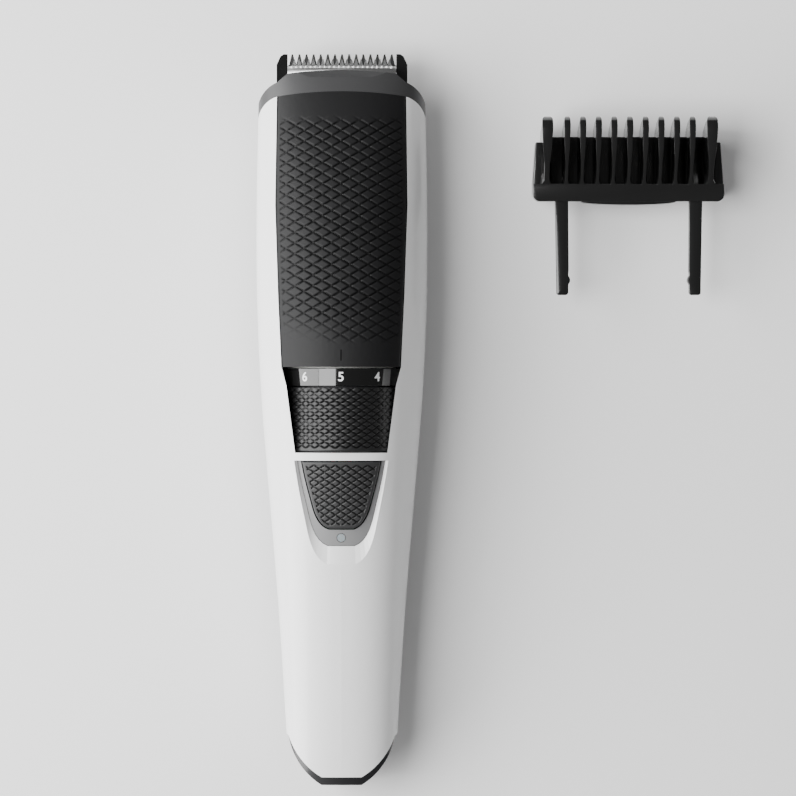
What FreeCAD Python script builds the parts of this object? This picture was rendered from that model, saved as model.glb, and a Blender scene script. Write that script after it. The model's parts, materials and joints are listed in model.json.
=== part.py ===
"""Cordless beard trimmer lying on its back, with its guard comb beside it.

Units are millimetres. +Z points up through the front face, +Y towards the blades and
+X to the right as seen from the front. The origin is the centre of the flat rest pad
on the back of the handle.
"""
import FreeCAD, Part
import Sketcher
import math
import os
import re

DIMENSIONS = {
    # Handle sections: place along the handle, half width, front height, back height.
    "tail_y": -89.8, "tail_half": 12.9, "tail_front": 22.0, "tail_back": 4.0,
    "low_y": -57.0, "low_half": 14.9, "low_front": 25.6, "low_back": 0.9,
    "thumb_y": -20.0, "thumb_half": 17.8, "thumb_front": 31.4, "thumb_back": -0.6,
    "waist_y": 2.0, "waist_half": 19.6, "waist_front": 34.4, "waist_back": -0.6,
    "grip_y": 26.0, "grip_half": 20.8, "grip_front": 34.4, "grip_back": -0.6,
    "palm_y": 52.0, "palm_half": 21.0, "palm_front": 31.5, "palm_back": 0.2,
    "crown_y": 85.1, "crown_half": 20.4, "crown_front": 24.0, "crown_back": 5.0,
    "side_height": 15.0, "roundness": 0.66,
    "wall": 2.0, "panel_wall": 1.3, "split_height": 11.0,
    # Clearance of still parts, clearance of moving parts, and how far solids overlap.
    "fit": 0.12, "slack": 0.3, "lap": 0.1,
    # Rounded base end: flat width, where the corner starts, and its bulge.
    "base_flat": 4.9, "base_corner_y": -77.8, "base_bulge_x": 10.3, "base_bulge_y": -84.7,
    "cap_depth": 1.9, "cap_bulge": 1.0, "corner_spread": 0.2,
    "bulge_lean_x": 0.8, "bulge_lean_y": 0.6,
    # Collar under the blades.
    "collar_mid_y": 79.7, "collar_side_y": 78.6, "collar_low_y": 73.9,
    "shoulder_x": 19.0, "shoulder_y": 76.6,
    "slant_x": 13.3, "slant_y": 84.2, "slant_low_x": 15.8, "slant_low_y": 82.1,
    "collar_hip_x": 18.7, "collar_hip_y": 80.2, "collar_top_wall": 3.6,
    "mouth_half": 12.2, "mouth_low": 9.0, "mouth_high": 21.7,
    "crease_y": 83.2, "crease_depth": 0.2, "crease_angle": 38.0,
    "collar_spill": 0.5, "bay_low_y": 70.0, "notch_side": 0.4, "notch_back": 0.7,
    "notch_rise": 0.5, "pin_seat": 3.0,
    # Front grip panel.
    "grip_top_half": 15.6, "grip_mid_half": 16.0, "grip_mid_y": 52.0,
    "grip_low_half": 15.2, "grip_low_y": 29.0, "grip_bottom_half": 14.4,
    "grip_bottom_y": 12.4,
    # Length-setting wheel.
    "wheel_radius": 15.0, "wheel_axis": 19.4, "wheel_bore": 12.0, "ring_width": 4.3,
    "knurl_width": 15.6, "wheel_gap": 0.3, "window_top_half": 14.5,
    "window_mid_half": 13.3, "window_low_half": 11.2, "bridge_width": 1.3,
    "core_radius": 11.94, "core_bore": 10.3, "detent_count": 10,
    "detent_radius": 0.75, "detent_leaf_half": 1.0, "detent_leaf_length": 7.0,
    "detent_leaf_thick": 0.3, "detent_bump_half": 0.5, "wheel_end_gap": 0.4,
    # Cam sleeve and comb carrier.
    "cam_radius": 13.3, "cam_length": 14.4, "cam_lead": 10.0, "cam_travel": 9.0,
    "cam_groove": 2.2, "cam_groove_depth": 1.0, "cam_up": 5.0, "cam_run_out": 0.3,
    "carrier_gap": 0.6, "carrier_wall": 1.4, "carrier_width": 4.0, "arm_in": 14.0,
    "arm_out": 17.3, "arm_low": 13.4, "arm_high": 18.7, "arm_top_y": 74.3,
    "socket_depth": 16.0, "pin_radius": 0.9, "arm_foot_high": 2.4,
    "arm_foot_reach": 12.37,
    # Guard comb.
    "comb_x": 70.7, "comb_top_y": 74.1, "comb_half": 23.6, "comb_high": 20.5,
    "leg_offset": 16.5, "leg_width": 3.0, "leg_thick": 2.3, "leg_length": 23.6,
    "leg_low": 10.5, "leg_fit": 0.25, "leg_root": 0.5,
    "comb_bar_y": 53.4, "comb_bar_low": 7.8, "comb_bar_high": 13.2, "comb_bar_width": 3.8,
    "comb_back_thick": 1.8, "comb_back_top": 70.0, "tooth_count": 11,
    "comb_back_edge": 0.8, "tooth_thick": 1.5, "tooth_pitch": 3.84,
    "end_tooth_thick": 3.0, "end_tooth_shift": 0.9, "comb_lip": 0.84,
    "comb_lip_half": 11.8, "comb_lip_step": 0.6,
    # Side profile of one comb tooth, measured down from its tip or up from the floor.
    "tooth_floor": 0.1, "tooth_nose_back": 2.4, "tooth_nose_high": 3.4,
    "tooth_face_back": 0.7, "tooth_face_high": 7.5, "tooth_front_high": 12.0,
    "tooth_tip_drop": 2.0, "tooth_tip_back": 1.2, "tooth_crown_back": 4.0,
    "tooth_crown_drop": 0.4, "tooth_slope_run": 3.0, "tooth_slope_part": 0.72,
    "tooth_foot_part": 0.6,
    # Button, bezel and light.
    "button_top_half": 9.7, "button_length": 16.6, "button_travel": 0.8,
    "button_proud": 0.3, "bezel_top_half": 10.6, "bezel_length": 20.6,
    "bezel_depth": 1.0, "bezel_thick": 1.5, "recess_length": 25.0, "recess_edge": 0.7,
    "light_radius": 1.0, "light_from_end": 1.9, "light_stand": 1.0, "light_reach": 20.0,
    "scoop_spill": 1.2, "button_thick": 3.0, "button_stem": 2.0,
    # Electrics.
    "board_high": 24.4, "board_thick": 1.2, "board_half": 8.0, "board_length": 27.0,
    "battery_radius": 7.2, "battery_length": 48.0, "battery_axis": 13.1,
    "battery_low_y": -71.0, "jack_entry": 2.9, "jack_bore": 1.75, "jack_depth": 9.0,
    "jack_half": 4.0, "jack_length": 11.0, "jack_axis": 12.5, "contact_thick": 0.5,
    "switch_half": 3.0, "switch_height": 2.4, "plunger_radius": 1.4,
    "plunger_height": 2.4, "board_setback": 5.5, "chip_long": 4.0, "chip_wide": 3.0,
    "chip_high": 0.9, "chip_left": 6.0, "chip_upper": 12.0, "chip_lower": 19.0,
    "led_high": 0.8, "lead_radius": 0.5, "lead_offset": 2.0, "lead_drop": 0.7,
    # Chassis.
    "tray_wall": 1.2, "tray_rim": 1.0, "tray_end": 2.0, "core_overlap": 2.4,
    "core_tail": 2.0, "bed_gap": 0.5, "bed_thick": 2.6, "post_back": 30.0,
    "post_long": 3.0, "post_thick": 0.6,
    # Motor and crank.
    "motor_low_y": 34.0, "motor_length": 23.0, "motor_radius": 10.0,
    "motor_flat": 7.5, "motor_axis": 17.0, "motor_wall": 1.0, "end_cap_length": 3.0,
    "rotor_radius": 6.0, "shaft_radius": 1.0, "crank_radius": 3.2, "crank_length": 4.0,
    "crank_gap": 4.5, "crank_throw": 0.9, "crank_pin_length": 13.0,
    "crank_pin_radius": 1.0, "crank_pin_root": 0.2, "shaft_fit": 0.06, "can_nose": 3.0,
    "shaft_setback": 0.5, "rotor_gap": 1.0, "bracket_wall": 1.6, "bolt_x": 6.6,
    "bolt_radius": 0.75, "bolt_hole": 0.85, "bolt_head": 1.4, "bolt_head_high": 1.0,
    # Cutting head.
    "head_half": 13.4, "ear_out": 16.1, "ear_top": 89.6, "ear_low": 82.25,
    "ear_back": 8.9, "ear_front": 14.6, "head_gap": 0.2, "head_bar": 1.6,
    "hinge_y": 83.6, "hinge_z": 7.6, "knuckle_radius": 1.5, "knuckle_half": 6.9,
    "hinge_pin_radius": 0.6, "hinge_fit": 0.06, "blade_low": 11.9, "blade_thick": 1.1,
    "cutter_thick": 0.7, "blade_tip_y": 89.7, "blade_root_y": 87.0, "blade_pitch": 1.75,
    "blade_teeth": 15, "cutter_tip_y": 88.4, "cutter_root_y": 86.9, "cutter_teeth": 21,
    "cutter_pitch": 1.17, "cutter_travel": 0.9, "cover_thick": 0.8, "cover_top_y": 86.6,
    "cutter_fit": 0.05, "cutter_side": 0.2, "cutter_neck": 8.6, "cutter_back": 2.5,
    "blade_back": 1.6, "tooth_root_part": 0.46, "tooth_tip_part": 0.1,
    "hood_side": 0.35, "hood_setback": 0.8, "hood_drop": 0.4, "ear_gap": 0.3, "ear_step": 0.9,
    "ear_chamfer": 2.6, "ear_shoulder": 0.6, "ear_top_in": 1.7, "bar_side": 0.6,
    "plug_back": 2.4, "yoke_low_y": 77.6, "yoke_wall": 1.6, "yoke_high": 18.9,
    "yoke_fit": 0.15, "yoke_bridge_back": 2.7, "yoke_bridge_front": 0.4,
    "yoke_gap_back": 3.2, "screw_radius": 0.7, "screw_eye": 0.75, "screw_seat": 2.4,
    "screw_head": 0.95, "screw_head_high": 0.6, "screw_x": 10.9,
}

doc = FreeCAD.newDocument("beard_trimmer")
dims = doc.addObject("Spreadsheet::Sheet", "dims")
PARTS = {}


def fill_sheet():
    """Write every driving dimension to the sheet with its alias."""
    for row, (name, value) in enumerate(DIMENSIONS.items(), start=1):
        dims.set("A%d" % row, name)
        dims.set("B%d" % row, str(value))
        dims.setAlias("B%d" % row, name)
    doc.recompute()


def size(name):
    """One driving dimension, read from the sheet."""
    return float(dims.get(name))


def bound(text):
    """An expression with each dimension's name pointing into the sheet."""
    return re.sub(r"[a-z_]+", lambda word: "dims." + word.group(0), str(text))


def number(text):
    """The present value of an expression."""
    return float(dims.evalExpression(bound(text)))


def bind(item, **sizes):
    """Bind properties of an object to expressions, such as Length='wall * 2'."""
    for name, text in sizes.items():
        item.setExpression(name, bound(text))


def keep(name, item):
    """Make an object a sub-part under its own name."""
    item.Label = name
    PARTS[name] = item
    return item


def place(item, spot):
    """Bind an object's position to three expressions."""
    for axis, text in zip("xyz", spot):
        item.setExpression("Placement.Base." + axis, bound(text))


def block(name, span_x, span_y, span_z):
    """A box between two expressions along each axis."""
    item = doc.addObject("Part::Box", name)
    spans = {"Length": span_x, "Width": span_y, "Height": span_z}
    for key, (low, high) in spans.items():
        item.setExpression(key, bound("(%s) - (%s)" % (high, low)))
    place(item, [span[0] for span in (span_x, span_y, span_z)])
    return item


def both_sides(text):
    """A span centred on the middle plane."""
    return ("-(%s)" % text, text)


TURNS = {
    "x": FreeCAD.Rotation(FreeCAD.Vector(0, 1, 0), 90),
    "y": FreeCAD.Rotation(FreeCAD.Vector(1, 0, 0), -90),
    "z": FreeCAD.Rotation(),
}


def rod(name, axis, start, radius, length):
    """A cylinder from a start point along an axis."""
    item = doc.addObject("Part::Cylinder", name)
    bind(item, Radius=radius, Height=length)
    item.Placement = FreeCAD.Placement(FreeCAD.Vector(), TURNS[axis])
    place(item, start)
    return item


def fuse(name, items):
    """Several overlapping objects as one."""
    item = doc.addObject("Part::MultiFuse", name)
    item.Shapes = items
    item.Refine = True
    return item


def cut(name, base, tools):
    """One object with others taken away."""
    tool = tools[0]
    if len(tools) > 1:
        tool = doc.addObject("Part::MultiFuse", name + "_tools")
        tool.Shapes = tools
    item = doc.addObject("Part::Cut", name)
    item.Base = base
    item.Tool = tool
    return item


def common(name, items):
    """What several objects share."""
    item = doc.addObject("Part::MultiCommon", name)
    item.Shapes = items
    return item


def group(name, items):
    """Identical separate solids in one object."""
    item = doc.addObject("Part::Compound", name)
    item.Links = items
    return item


def feature(name, shape):
    """A free-form shape as a document object."""
    item = doc.addObject("Part::Feature", name)
    item.Shape = shape
    return item


def origin_plane(body, role):
    return [item for item in body.Origin.OriginFeatures if item.Role == role][0]


def outline_sketch(body, name, role, points, offset="0"):
    """A closed polygon sketch whose corners are bound to pairs of expressions."""
    sketch = body.newObject("Sketcher::SketchObject", name)
    sketch.AttachmentSupport = [(origin_plane(body, role), "")]
    sketch.MapMode = "FlatFace"
    sketch.setExpression("AttachmentOffset.Base.z", bound(offset))
    spots = [FreeCAD.Vector(number(x), number(y), 0) for x, y in points]
    for index, spot in enumerate(spots):
        sketch.addGeometry(Part.LineSegment(spot, spots[(index + 1) % len(spots)]))
    for index in range(len(spots)):
        after = (index + 1) % len(spots)
        sketch.addConstraint(Sketcher.Constraint("Coincident", index, 2, after, 1))
    for index, (x, y) in enumerate(points):
        for kind, text in (("DistanceX", x), ("DistanceY", y)):
            rule = Sketcher.Constraint(kind, -1, 1, index, 1, number(text))
            sketch.setExpression(
                "Constraints[%d]" % sketch.addConstraint(rule), bound(text))
    return sketch


def circle_sketch(body, name, role, radii, offset="0"):
    """Concentric circles about the plane's origin, bound to expressions."""
    sketch = body.newObject("Sketcher::SketchObject", name)
    sketch.AttachmentSupport = [(origin_plane(body, role), "")]
    sketch.MapMode = "FlatFace"
    sketch.setExpression("AttachmentOffset.Base.z", bound(offset))
    middle, up = FreeCAD.Vector(), FreeCAD.Vector(0, 0, 1)
    for index, radius in enumerate(radii):
        sketch.addGeometry(Part.Circle(middle, up, number(radius)))
        sketch.addConstraint(Sketcher.Constraint("Coincident", index, 3, -1, 1))
        rule = Sketcher.Constraint("Radius", index, number(radius))
        sketch.setExpression(
            "Constraints[%d]" % sketch.addConstraint(rule), bound(radius))
    return sketch


def pad(body, sketch, length):
    item = body.newObject("PartDesign::Pad", sketch.Name + "_pad")
    item.Profile = sketch
    bind(item, Length=length)
    return item


def plate(name, points, low, high):
    """A body padded up from low to high with a polygon outline seen from the front."""
    body = doc.addObject("PartDesign::Body", name)
    sketch = outline_sketch(body, name + "_outline", "XY_Plane", points, low)
    pad(body, sketch, "(%s) - (%s)" % (high, low))
    return body


def mirrored_outline(points):
    """A half outline given from top to bottom on +X, closed on the -X side."""
    return points + [("-(%s)" % x, y) for x, y in reversed(points)]


def ring(name, outer, inner, start, length):
    """A tube about the wheel's axis, from start along +Y."""
    body = doc.addObject("PartDesign::Body", name)
    sketch = circle_sketch(body, name + "_circles", "XY_Plane", [outer, inner])
    pad(body, sketch, length)
    body.Placement = FreeCAD.Placement(FreeCAD.Vector(), TURNS["y"])
    place(body, ("0", start, "wheel_axis"))
    return body


# Handle surface ------------------------------------------------------------------

STATIONS = ("tail", "low", "thumb", "waist", "grip", "palm", "crown")
FAR = 200.0


def point(x, y, z=0.0):
    return FreeCAD.Vector(x, y, z)


def quarter(start, end, corner):
    """One rounded quarter of a handle section."""
    pull = size("roundness")
    curve = Part.BezierCurve()
    near = start + (corner - start) * pull
    curve.setPoles([start, near, end + (corner - end) * pull, end])
    return curve.toShape()


def section(station, inset):
    """The closed outline of the handle at one station, moved inwards by inset."""
    y, side = size(station + "_y"), size("side_height")
    half = size(station + "_half") - inset
    front = size(station + "_front") - inset
    back = size(station + "_back") + inset
    right, top = point(half, y, side), point(0, y, front)
    left, bottom = point(-half, y, side), point(0, y, back)
    return Part.Wire([
        quarter(right, top, point(half, y, front)),
        quarter(top, left, point(-half, y, front)),
        quarter(left, bottom, point(-half, y, back)),
        quarter(bottom, right, point(half, y, back)),
    ])


def handle(inset=0.0):
    """The solid inside the handle's surface, inset all round."""
    return Part.makeLoft([section(name, inset) for name in STATIONS], True, False, False)


def slab(low, high):
    """Everything between two heights."""
    return Part.makeBox(2 * FAR, 2 * FAR, high - low, point(-FAR, -FAR, low))


def prism(wire, low=-FAR, high=FAR):
    """A plan outline pulled up between two heights."""
    moved = wire.copy()
    moved.translate(point(0, 0, low))
    return Part.Face(moved).extrude(point(0, 0, high - low))


def both_halves(spots):
    """Corners on +X followed by their mirror images."""
    return spots + [(-x, y) for x, y in reversed(spots)]


def polygon(spots):
    """A closed plan outline through (x, y) corners."""
    corners = [point(x, y) for x, y in spots]
    return Part.makePolygon(corners + corners[:1])


def curve_through(spots):
    """A smooth edge through (x, y) points."""
    curve = Part.BSplineCurve()
    curve.interpolate([point(x, y) for x, y in spots])
    return curve.toShape()


def line(start, end):
    return Part.makeLine(point(*start), point(*end))


def base_outline(inset, bulge_inset):
    """The handle's plan outline, open towards the blades, with its rounded base end."""
    side, corner_y = size("tail_half") + size("corner_spread"), size("base_corner_y")
    end_y = size("tail_y") + inset
    flat = size("base_flat")
    bulge = (size("base_bulge_x") - bulge_inset * size("bulge_lean_x"),
             size("base_bulge_y") + bulge_inset * size("bulge_lean_y"))
    edges = []
    for sign in (1, -1):
        start, end = (sign * side, corner_y), (sign * flat, end_y)
        arc = Part.Arc(point(*start), point(sign * bulge[0], bulge[1]), point(*end))
        edges.append(arc.toShape())
        edges.append(line((sign * FAR, corner_y), start))
        edges.append(line((sign * FAR, corner_y), (sign * FAR, FAR)))
    edges.append(line((-flat, end_y), (flat, end_y)))
    edges.append(line((-FAR, FAR), (FAR, FAR)))
    return Part.Wire(Part.__sortEdges__(edges))


def above_collar_line():
    """The region of the collar: everything on the blade side of its lower edge."""
    side, hip = size("grip_top_half"), size("crown_half") + size("lap")
    arch = Part.Arc(
        point(-side, size("collar_side_y")), point(0, size("collar_mid_y")),
        point(side, size("collar_side_y")))
    edges = [arch.toShape()]
    for sign in (1, -1):
        crescent = Part.Arc(
            point(sign * side, size("collar_side_y")),
            point(sign * size("shoulder_x"), size("shoulder_y")),
            point(sign * hip, size("collar_low_y")))
        edges.append(crescent.toShape())
        edges.append(line((sign * hip, size("collar_low_y")), (sign * FAR, size("collar_low_y"))))
        edges.append(line((sign * FAR, size("collar_low_y")), (sign * FAR, FAR)))
    edges.append(line((-FAR, FAR), (FAR, FAR)))
    return prism(Part.Wire(Part.__sortEdges__(edges)))


def collar_top_outline():
    """The collar's plan outline with slanted ends and round shoulders."""
    hip = size("crown_half") + size("collar_spill")
    edges = [Part.Arc(
        point(-size("slant_x"), size("slant_y")), point(0, size("crown_y")),
        point(size("slant_x"), size("slant_y"))).toShape()]
    for sign in (1, -1):
        slant = (sign * size("slant_low_x"), size("slant_low_y"))
        edges.append(line((sign * size("slant_x"), size("slant_y")), slant))
        shoulder = Part.Arc(
            point(*slant), point(sign * size("collar_hip_x"), size("collar_hip_y")),
            point(sign * hip, size("collar_low_y")))
        edges.append(shoulder.toShape())
        edges.append(line((sign * hip, size("collar_low_y")), (sign * hip, 0)))
    edges.append(line((-hip, 0), (hip, 0)))
    return prism(Part.Wire(Part.__sortEdges__(edges)))


def grip_outline(gap):
    """The front grip panel's sides and lower edge; its top runs past the collar line."""
    return polygon(both_halves([
        (size("grip_top_half") + gap, size("crown_y")),
        (size("grip_mid_half") + gap, size("grip_mid_y")),
        (size("grip_low_half") + gap, size("grip_low_y")),
        (size("grip_bottom_half") + gap, size("grip_bottom_y") - gap),
    ]))


def wheel_low():
    """Where the wheel's knurled end stops."""
    return size("grip_bottom_y") - 2 * size("wheel_gap") - size("ring_width") \
        - size("knurl_width")


def window_outline():
    """The opening over the wheel."""
    top = size("grip_bottom_y")
    return polygon(both_halves([
        (size("window_top_half"), top + 1),
        (size("window_top_half"), top),
        (size("window_mid_half"), top - size("ring_width") - size("wheel_gap")),
        (size("window_low_half"), wheel_low() - size("wheel_gap")),
    ]))


def bridge_low():
    """The lower edge of the bar between the wheel and the button."""
    return wheel_low() - size("wheel_gap") - size("bridge_width")


def tongue_outline(half, length, gap=0.0):
    """The tapering tongue shape shared by the button, its bezel and the recess."""
    top = bridge_low() - size("recess_edge") + gap
    steps = ((1.0, 0.0), (0.9, 0.28), (0.765, 0.58), (0.62, 0.83), (0.46, 0.95), (0.3, 1.0))
    right = [(half * wide + gap, top - (length + 2 * gap) * down) for wide, down in steps]
    left = [(-x, y) for x, y in reversed(right)]
    return Part.Wire([
        curve_through(right), line(right[-1], left[0]),
        curve_through(left), line(left[-1], right[0])])


def front_shell():
    """White front shell: a skin with openings for the grip, wheel and button tongue."""
    skin = handle().cut(handle(size("wall")))
    shell = skin.common(slab(size("split_height"), FAR))
    shell = shell.common(prism(base_outline(size("cap_depth"), size("cap_bulge"))))
    shell = shell.cut(above_collar_line())
    shell = shell.cut(prism(grip_outline(size("fit")), size("side_height")))
    shell = shell.cut(prism(window_outline(), size("side_height")))
    gap = size("wheel_gap")
    wheel_room = Part.makeCylinder(
        size("wheel_radius") + gap, size("grip_bottom_y") - wheel_low() + 2 * gap,
        point(0, wheel_low() - gap, size("wheel_axis")), point(0, 1, 0))
    return shell.cut([wheel_room, tongue_cutter()])


def surface_height(solid, x, y):
    """Height of the front of a solid above one place in plan."""
    ray = Part.makeLine(point(x, y, size("side_height")), point(x, y, FAR))
    return ray.common(solid).BoundBox.ZMax


def ring_points(wire):
    """Points round a closed outline, with each of its corners kept."""
    return [spot for edge in wire.Edges for spot in edge.discretize(18)[:-1]]


def tongue_cutter():
    """The sloping scoop round the bezel and the opening that holds it."""
    spill = size("scoop_spill")
    inner = tongue_outline(size("bezel_top_half"), size("bezel_length"), size("fit"))
    outer = tongue_outline(
        size("bezel_top_half") + size("recess_edge"), size("recess_length"), size("fit"))
    solid = handle()
    low_ring, high_ring = [], []
    for near, far in zip(ring_points(inner), ring_points(outer)):
        low = surface_height(solid, near.x, near.y) - size("bezel_depth") - size("fit")
        high = surface_height(solid, far.x, far.y)
        bottom, top = point(near.x, near.y, low), point(far.x, far.y, high)
        low_ring.append(bottom)
        high_ring.append(bottom + (top - bottom) * spill)
    rings = [[point(spot.x, spot.y, size("side_height")) for spot in low_ring], low_ring,
             high_ring, [point(spot.x, spot.y, FAR) for spot in high_ring]]
    return closed_rings(rings)


def facet(corners):
    return Part.Face(Part.makePolygon(corners + corners[:1]))


def closed_rings(rings):
    """A solid skinned with triangles over rings of points, with flat ends."""
    faces = [facet(rings[0]), facet(rings[-1])]
    for lower, upper in zip(rings, rings[1:]):
        for index in range(len(lower)):
            after = (index + 1) % len(lower)
            faces.append(facet([lower[index], lower[after], upper[index]]))
            faces.append(facet([lower[after], upper[after], upper[index]]))
    return Part.makeSolid(Part.makeShell(faces))


def rear_shell():
    """Black rear shell with the flat rest pad."""
    skin = handle().cut(handle(size("wall")))
    shell = skin.common(slab(0.0, size("split_height") - size("fit")))
    shell = shell.common(prism(base_outline(size("cap_depth"), size("cap_bulge"))))
    return shell.cut(above_collar_line())


def base_cap():
    """Black cap over the base end, thickest in the middle."""
    cap = handle().common(prism(base_outline(0.0, 0.0)))
    entry = Part.makeCylinder(
        size("jack_entry"), 2 * size("cap_depth"),
        point(0, size("tail_y") - size("cap_depth") / 2, size("jack_axis")), point(0, 1, 0))
    return cap.cut([prism(base_outline(size("cap_depth"), size("cap_bulge"))), entry])


def top_collar():
    """Dark collar that closes the handle under the blades."""
    inner = handle(size("wall")).cut(
        Part.makeBox(2 * FAR, FAR, 2 * FAR,
                     point(-FAR, size("crown_y") - size("collar_top_wall"), -FAR)))
    collar = handle().cut(inner).common(above_collar_line())
    collar = collar.common(collar_top_outline())
    tools = [collar_mouth(), hinge_notch(), crease()]
    tools += [comb_slot(sign) for sign in (1, -1)]
    return collar.cut(tools)


def crease():
    """Space above the collar's front edge, which falls away towards the blades."""
    wedge = Part.makeBox(2 * FAR, FAR, FAR, point(-FAR, 0, 0))
    wedge.rotate(point(0, 0), point(1, 0), -size("crease_angle"))
    slope = (size("palm_front") - size("crown_front")) / (size("crown_y") - size("palm_y"))
    surface = size("crown_front") + slope * (size("crown_y") - size("crease_y"))
    wedge.translate(point(0, size("crease_y"), surface - size("crease_depth")))
    return wedge


def collar_mouth():
    """The opening that the cutting head plugs into."""
    half, low = size("mouth_half"), size("mouth_low")
    return Part.makeBox(
        2 * half, FAR, size("mouth_high") - low, point(-half, size("bay_low_y"), low))


def hinge_notch():
    """Room behind the mouth for the head's knuckle and the pin it turns on."""
    half = size("knuckle_half") + size("notch_side")
    low = size("hinge_y") - size("knuckle_radius") - size("notch_back")
    notch = Part.makeBox(
        2 * half, FAR, size("mouth_low") + size("notch_rise") + FAR, point(-half, low, -FAR))
    hole = Part.makeCylinder(
        size("hinge_pin_radius"), 2 * (half + size("pin_seat")),
        point(-half - size("pin_seat"), size("hinge_y"), size("hinge_z")), point(1, 0, 0))
    return notch.fuse(hole)


def comb_slot(sign):
    """The slot beside the head that takes one leg of the guard comb."""
    wide = size("leg_width") + 2 * size("leg_fit")
    high = size("leg_thick") + 2 * size("leg_fit")
    left = sign * size("leg_offset") - wide / 2
    return Part.makeBox(
        wide, FAR, high, point(left, size("bay_low_y"), leg_height() - size("leg_fit")))


def leg_height():
    """Underside of a guard comb leg when it is plugged into the trimmer."""
    return size("ear_front") + size("leg_fit") + size("slack")


def front_grip():
    """Dark grip panel set into the front shell."""
    skin = handle().cut(handle(size("panel_wall")))
    panel = skin.common(prism(grip_outline(0.0), size("side_height")))
    return panel.cut(above_collar_line())


def button_bezel():
    """Silver-grey tongue round the button, with the light's hole."""
    depth = size("bezel_depth")
    skin = handle(depth).cut(handle(depth + size("bezel_thick")))
    outline = tongue_outline(size("bezel_top_half"), size("bezel_length"))
    bezel = skin.common(prism(outline, size("side_height")))
    hole = tongue_outline(size("button_top_half"), size("button_length"), size("fit"))
    return bezel.cut([prism(hole, size("side_height")), light_column(size("fit"))])


def light_column(gap):
    """The round column of the light guide."""
    y = bridge_low() - size("recess_edge") - size("bezel_length") + size("light_from_end")
    low = size("board_high") + size("light_stand")
    return Part.makeCylinder(size("light_radius") + gap, size("light_reach"), point(0, y, low))


def led_lens():
    """Clear light guide that ends flush with the bezel."""
    return light_column(0.0).common(handle(size("bezel_depth")))


def power_button():
    """Push button that follows the handle's curve, with a stem under it."""
    proud = size("button_proud")
    skin = handle(proud).cut(handle(proud + size("button_thick")))
    outline = tongue_outline(size("button_top_half"), size("button_length"), -size("fit"))
    cap = skin.common(prism(outline, size("side_height")))
    start = plunger_top() + size("fit")
    stem = Part.makeCylinder(size("button_stem"), FAR, point(0, switch_y(), start))
    stem = stem.common(handle(proud + size("button_thick") / 2))
    return cap.fuse(stem).removeSplitter()


def switch_y():
    """Place of the switch along the handle, under the middle of the button."""
    return bridge_low() - size("recess_edge") - 0.5 * size("button_length")


def plunger_top():
    return size("board_high") + size("switch_height") + size("button_travel") + size("slack")


def free_forms():
    """Sub-parts that lie on the handle's curved surface."""
    makers = (front_shell, rear_shell, base_cap, top_collar, front_grip, button_bezel,
              led_lens, power_button)
    for maker in makers:
        keep(maker.__name__, feature(maker.__name__, maker()))


# Length-setting wheel, its cam and the comb carrier ----------------------------------

RING_LOW = "grip_bottom_y - wheel_gap - ring_width"
KNURL_LOW = "grip_bottom_y - 2 * wheel_gap - ring_width - knurl_width"
CAM_START = "grip_bottom_y - wheel_gap"


def wheel_parts():
    """Barrel with a knurled band, its number ring and the cam sleeve."""
    keep("zoom_wheel", ring("zoom_wheel", "wheel_radius", "wheel_bore", KNURL_LOW,
                            "knurl_width"))
    notched = doc.getObject("zoom_wheel")
    notch = circle_notch(notched)
    doc.recompute()
    pattern = notched.newObject("PartDesign::PolarPattern", "detent_notches")
    pattern.Originals = [notch]
    pattern.Axis = (origin_axis(notched, "Z_Axis"), [""])
    bind(pattern, Occurrences="detent_count")
    notched.Tip = pattern
    keep("number_ring", ring("number_ring", "wheel_radius", "wheel_bore",
                             RING_LOW, "ring_width"))
    keep("cam_sleeve", cam_sleeve())


def origin_axis(body, role):
    return [item for item in body.Origin.OriginFeatures if item.Role == role][0]


def circle_notch(body):
    """One detent notch in the wheel's lower end face."""
    sketch = body.newObject("Sketcher::SketchObject", "notch_circle")
    sketch.AttachmentSupport = [(origin_plane(body, "XY_Plane"), "")]
    sketch.MapMode = "FlatFace"
    middle = "(wheel_radius + wheel_bore) / 2"
    sketch.addGeometry(Part.Circle(
        FreeCAD.Vector(number(middle), 0, 0), FreeCAD.Vector(0, 0, 1), size("detent_radius")))
    for rule, text in (
            (Sketcher.Constraint("DistanceX", -1, 1, 0, 3, number(middle)), middle),
            (Sketcher.Constraint("Radius", 0, size("detent_radius")), "detent_radius")):
        sketch.setExpression("Constraints[%d]" % sketch.addConstraint(rule), bound(text))
    sketch.addConstraint(Sketcher.Constraint("PointOnObject", 0, 3, -1))
    pocket = body.newObject("PartDesign::Pocket", "notch")
    pocket.Profile = sketch
    pocket.Reversed = True
    bind(pocket, Length="wheel_gap * 2")
    return pocket


def cam_sleeve():
    """Sleeve whose helical groove moves the comb carrier."""
    body = ring("cam_sleeve", "cam_radius", "wheel_bore", CAM_START, "cam_length")
    middle = "cam_length / 2 - cam_travel + cam_up - cam_run_out"
    inner, outer = "cam_radius - cam_groove_depth", "cam_radius + 1"
    low, high = middle + " - cam_groove / 2", middle + " + cam_groove / 2"
    sketch = outline_sketch(body, "groove_profile", "XZ_Plane", [
        (inner, low), (outer, low), (outer, high), (inner, high)])
    doc.recompute()
    groove = body.newObject("PartDesign::SubtractiveHelix", "groove")
    groove.Profile = sketch
    groove.ReferenceAxis = (origin_axis(body, "Z_Axis"), [""])
    groove.Mode = 0
    bind(groove, Pitch="cam_lead", Height="cam_travel + 2 * cam_run_out")
    groove.LeftHanded = True
    down = size("cam_travel") - size("cam_up") + size("cam_run_out")
    turn = FreeCAD.Rotation(FreeCAD.Vector(0, 0, 1), 90 + 360 * down / size("cam_lead"))
    body.Placement = FreeCAD.Placement(body.Placement.Base, TURNS["y"].multiply(turn))
    place(body, ("0", CAM_START, "wheel_axis"))
    return body


PIN_Y = CAM_START + " + cam_length / 2"


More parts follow.
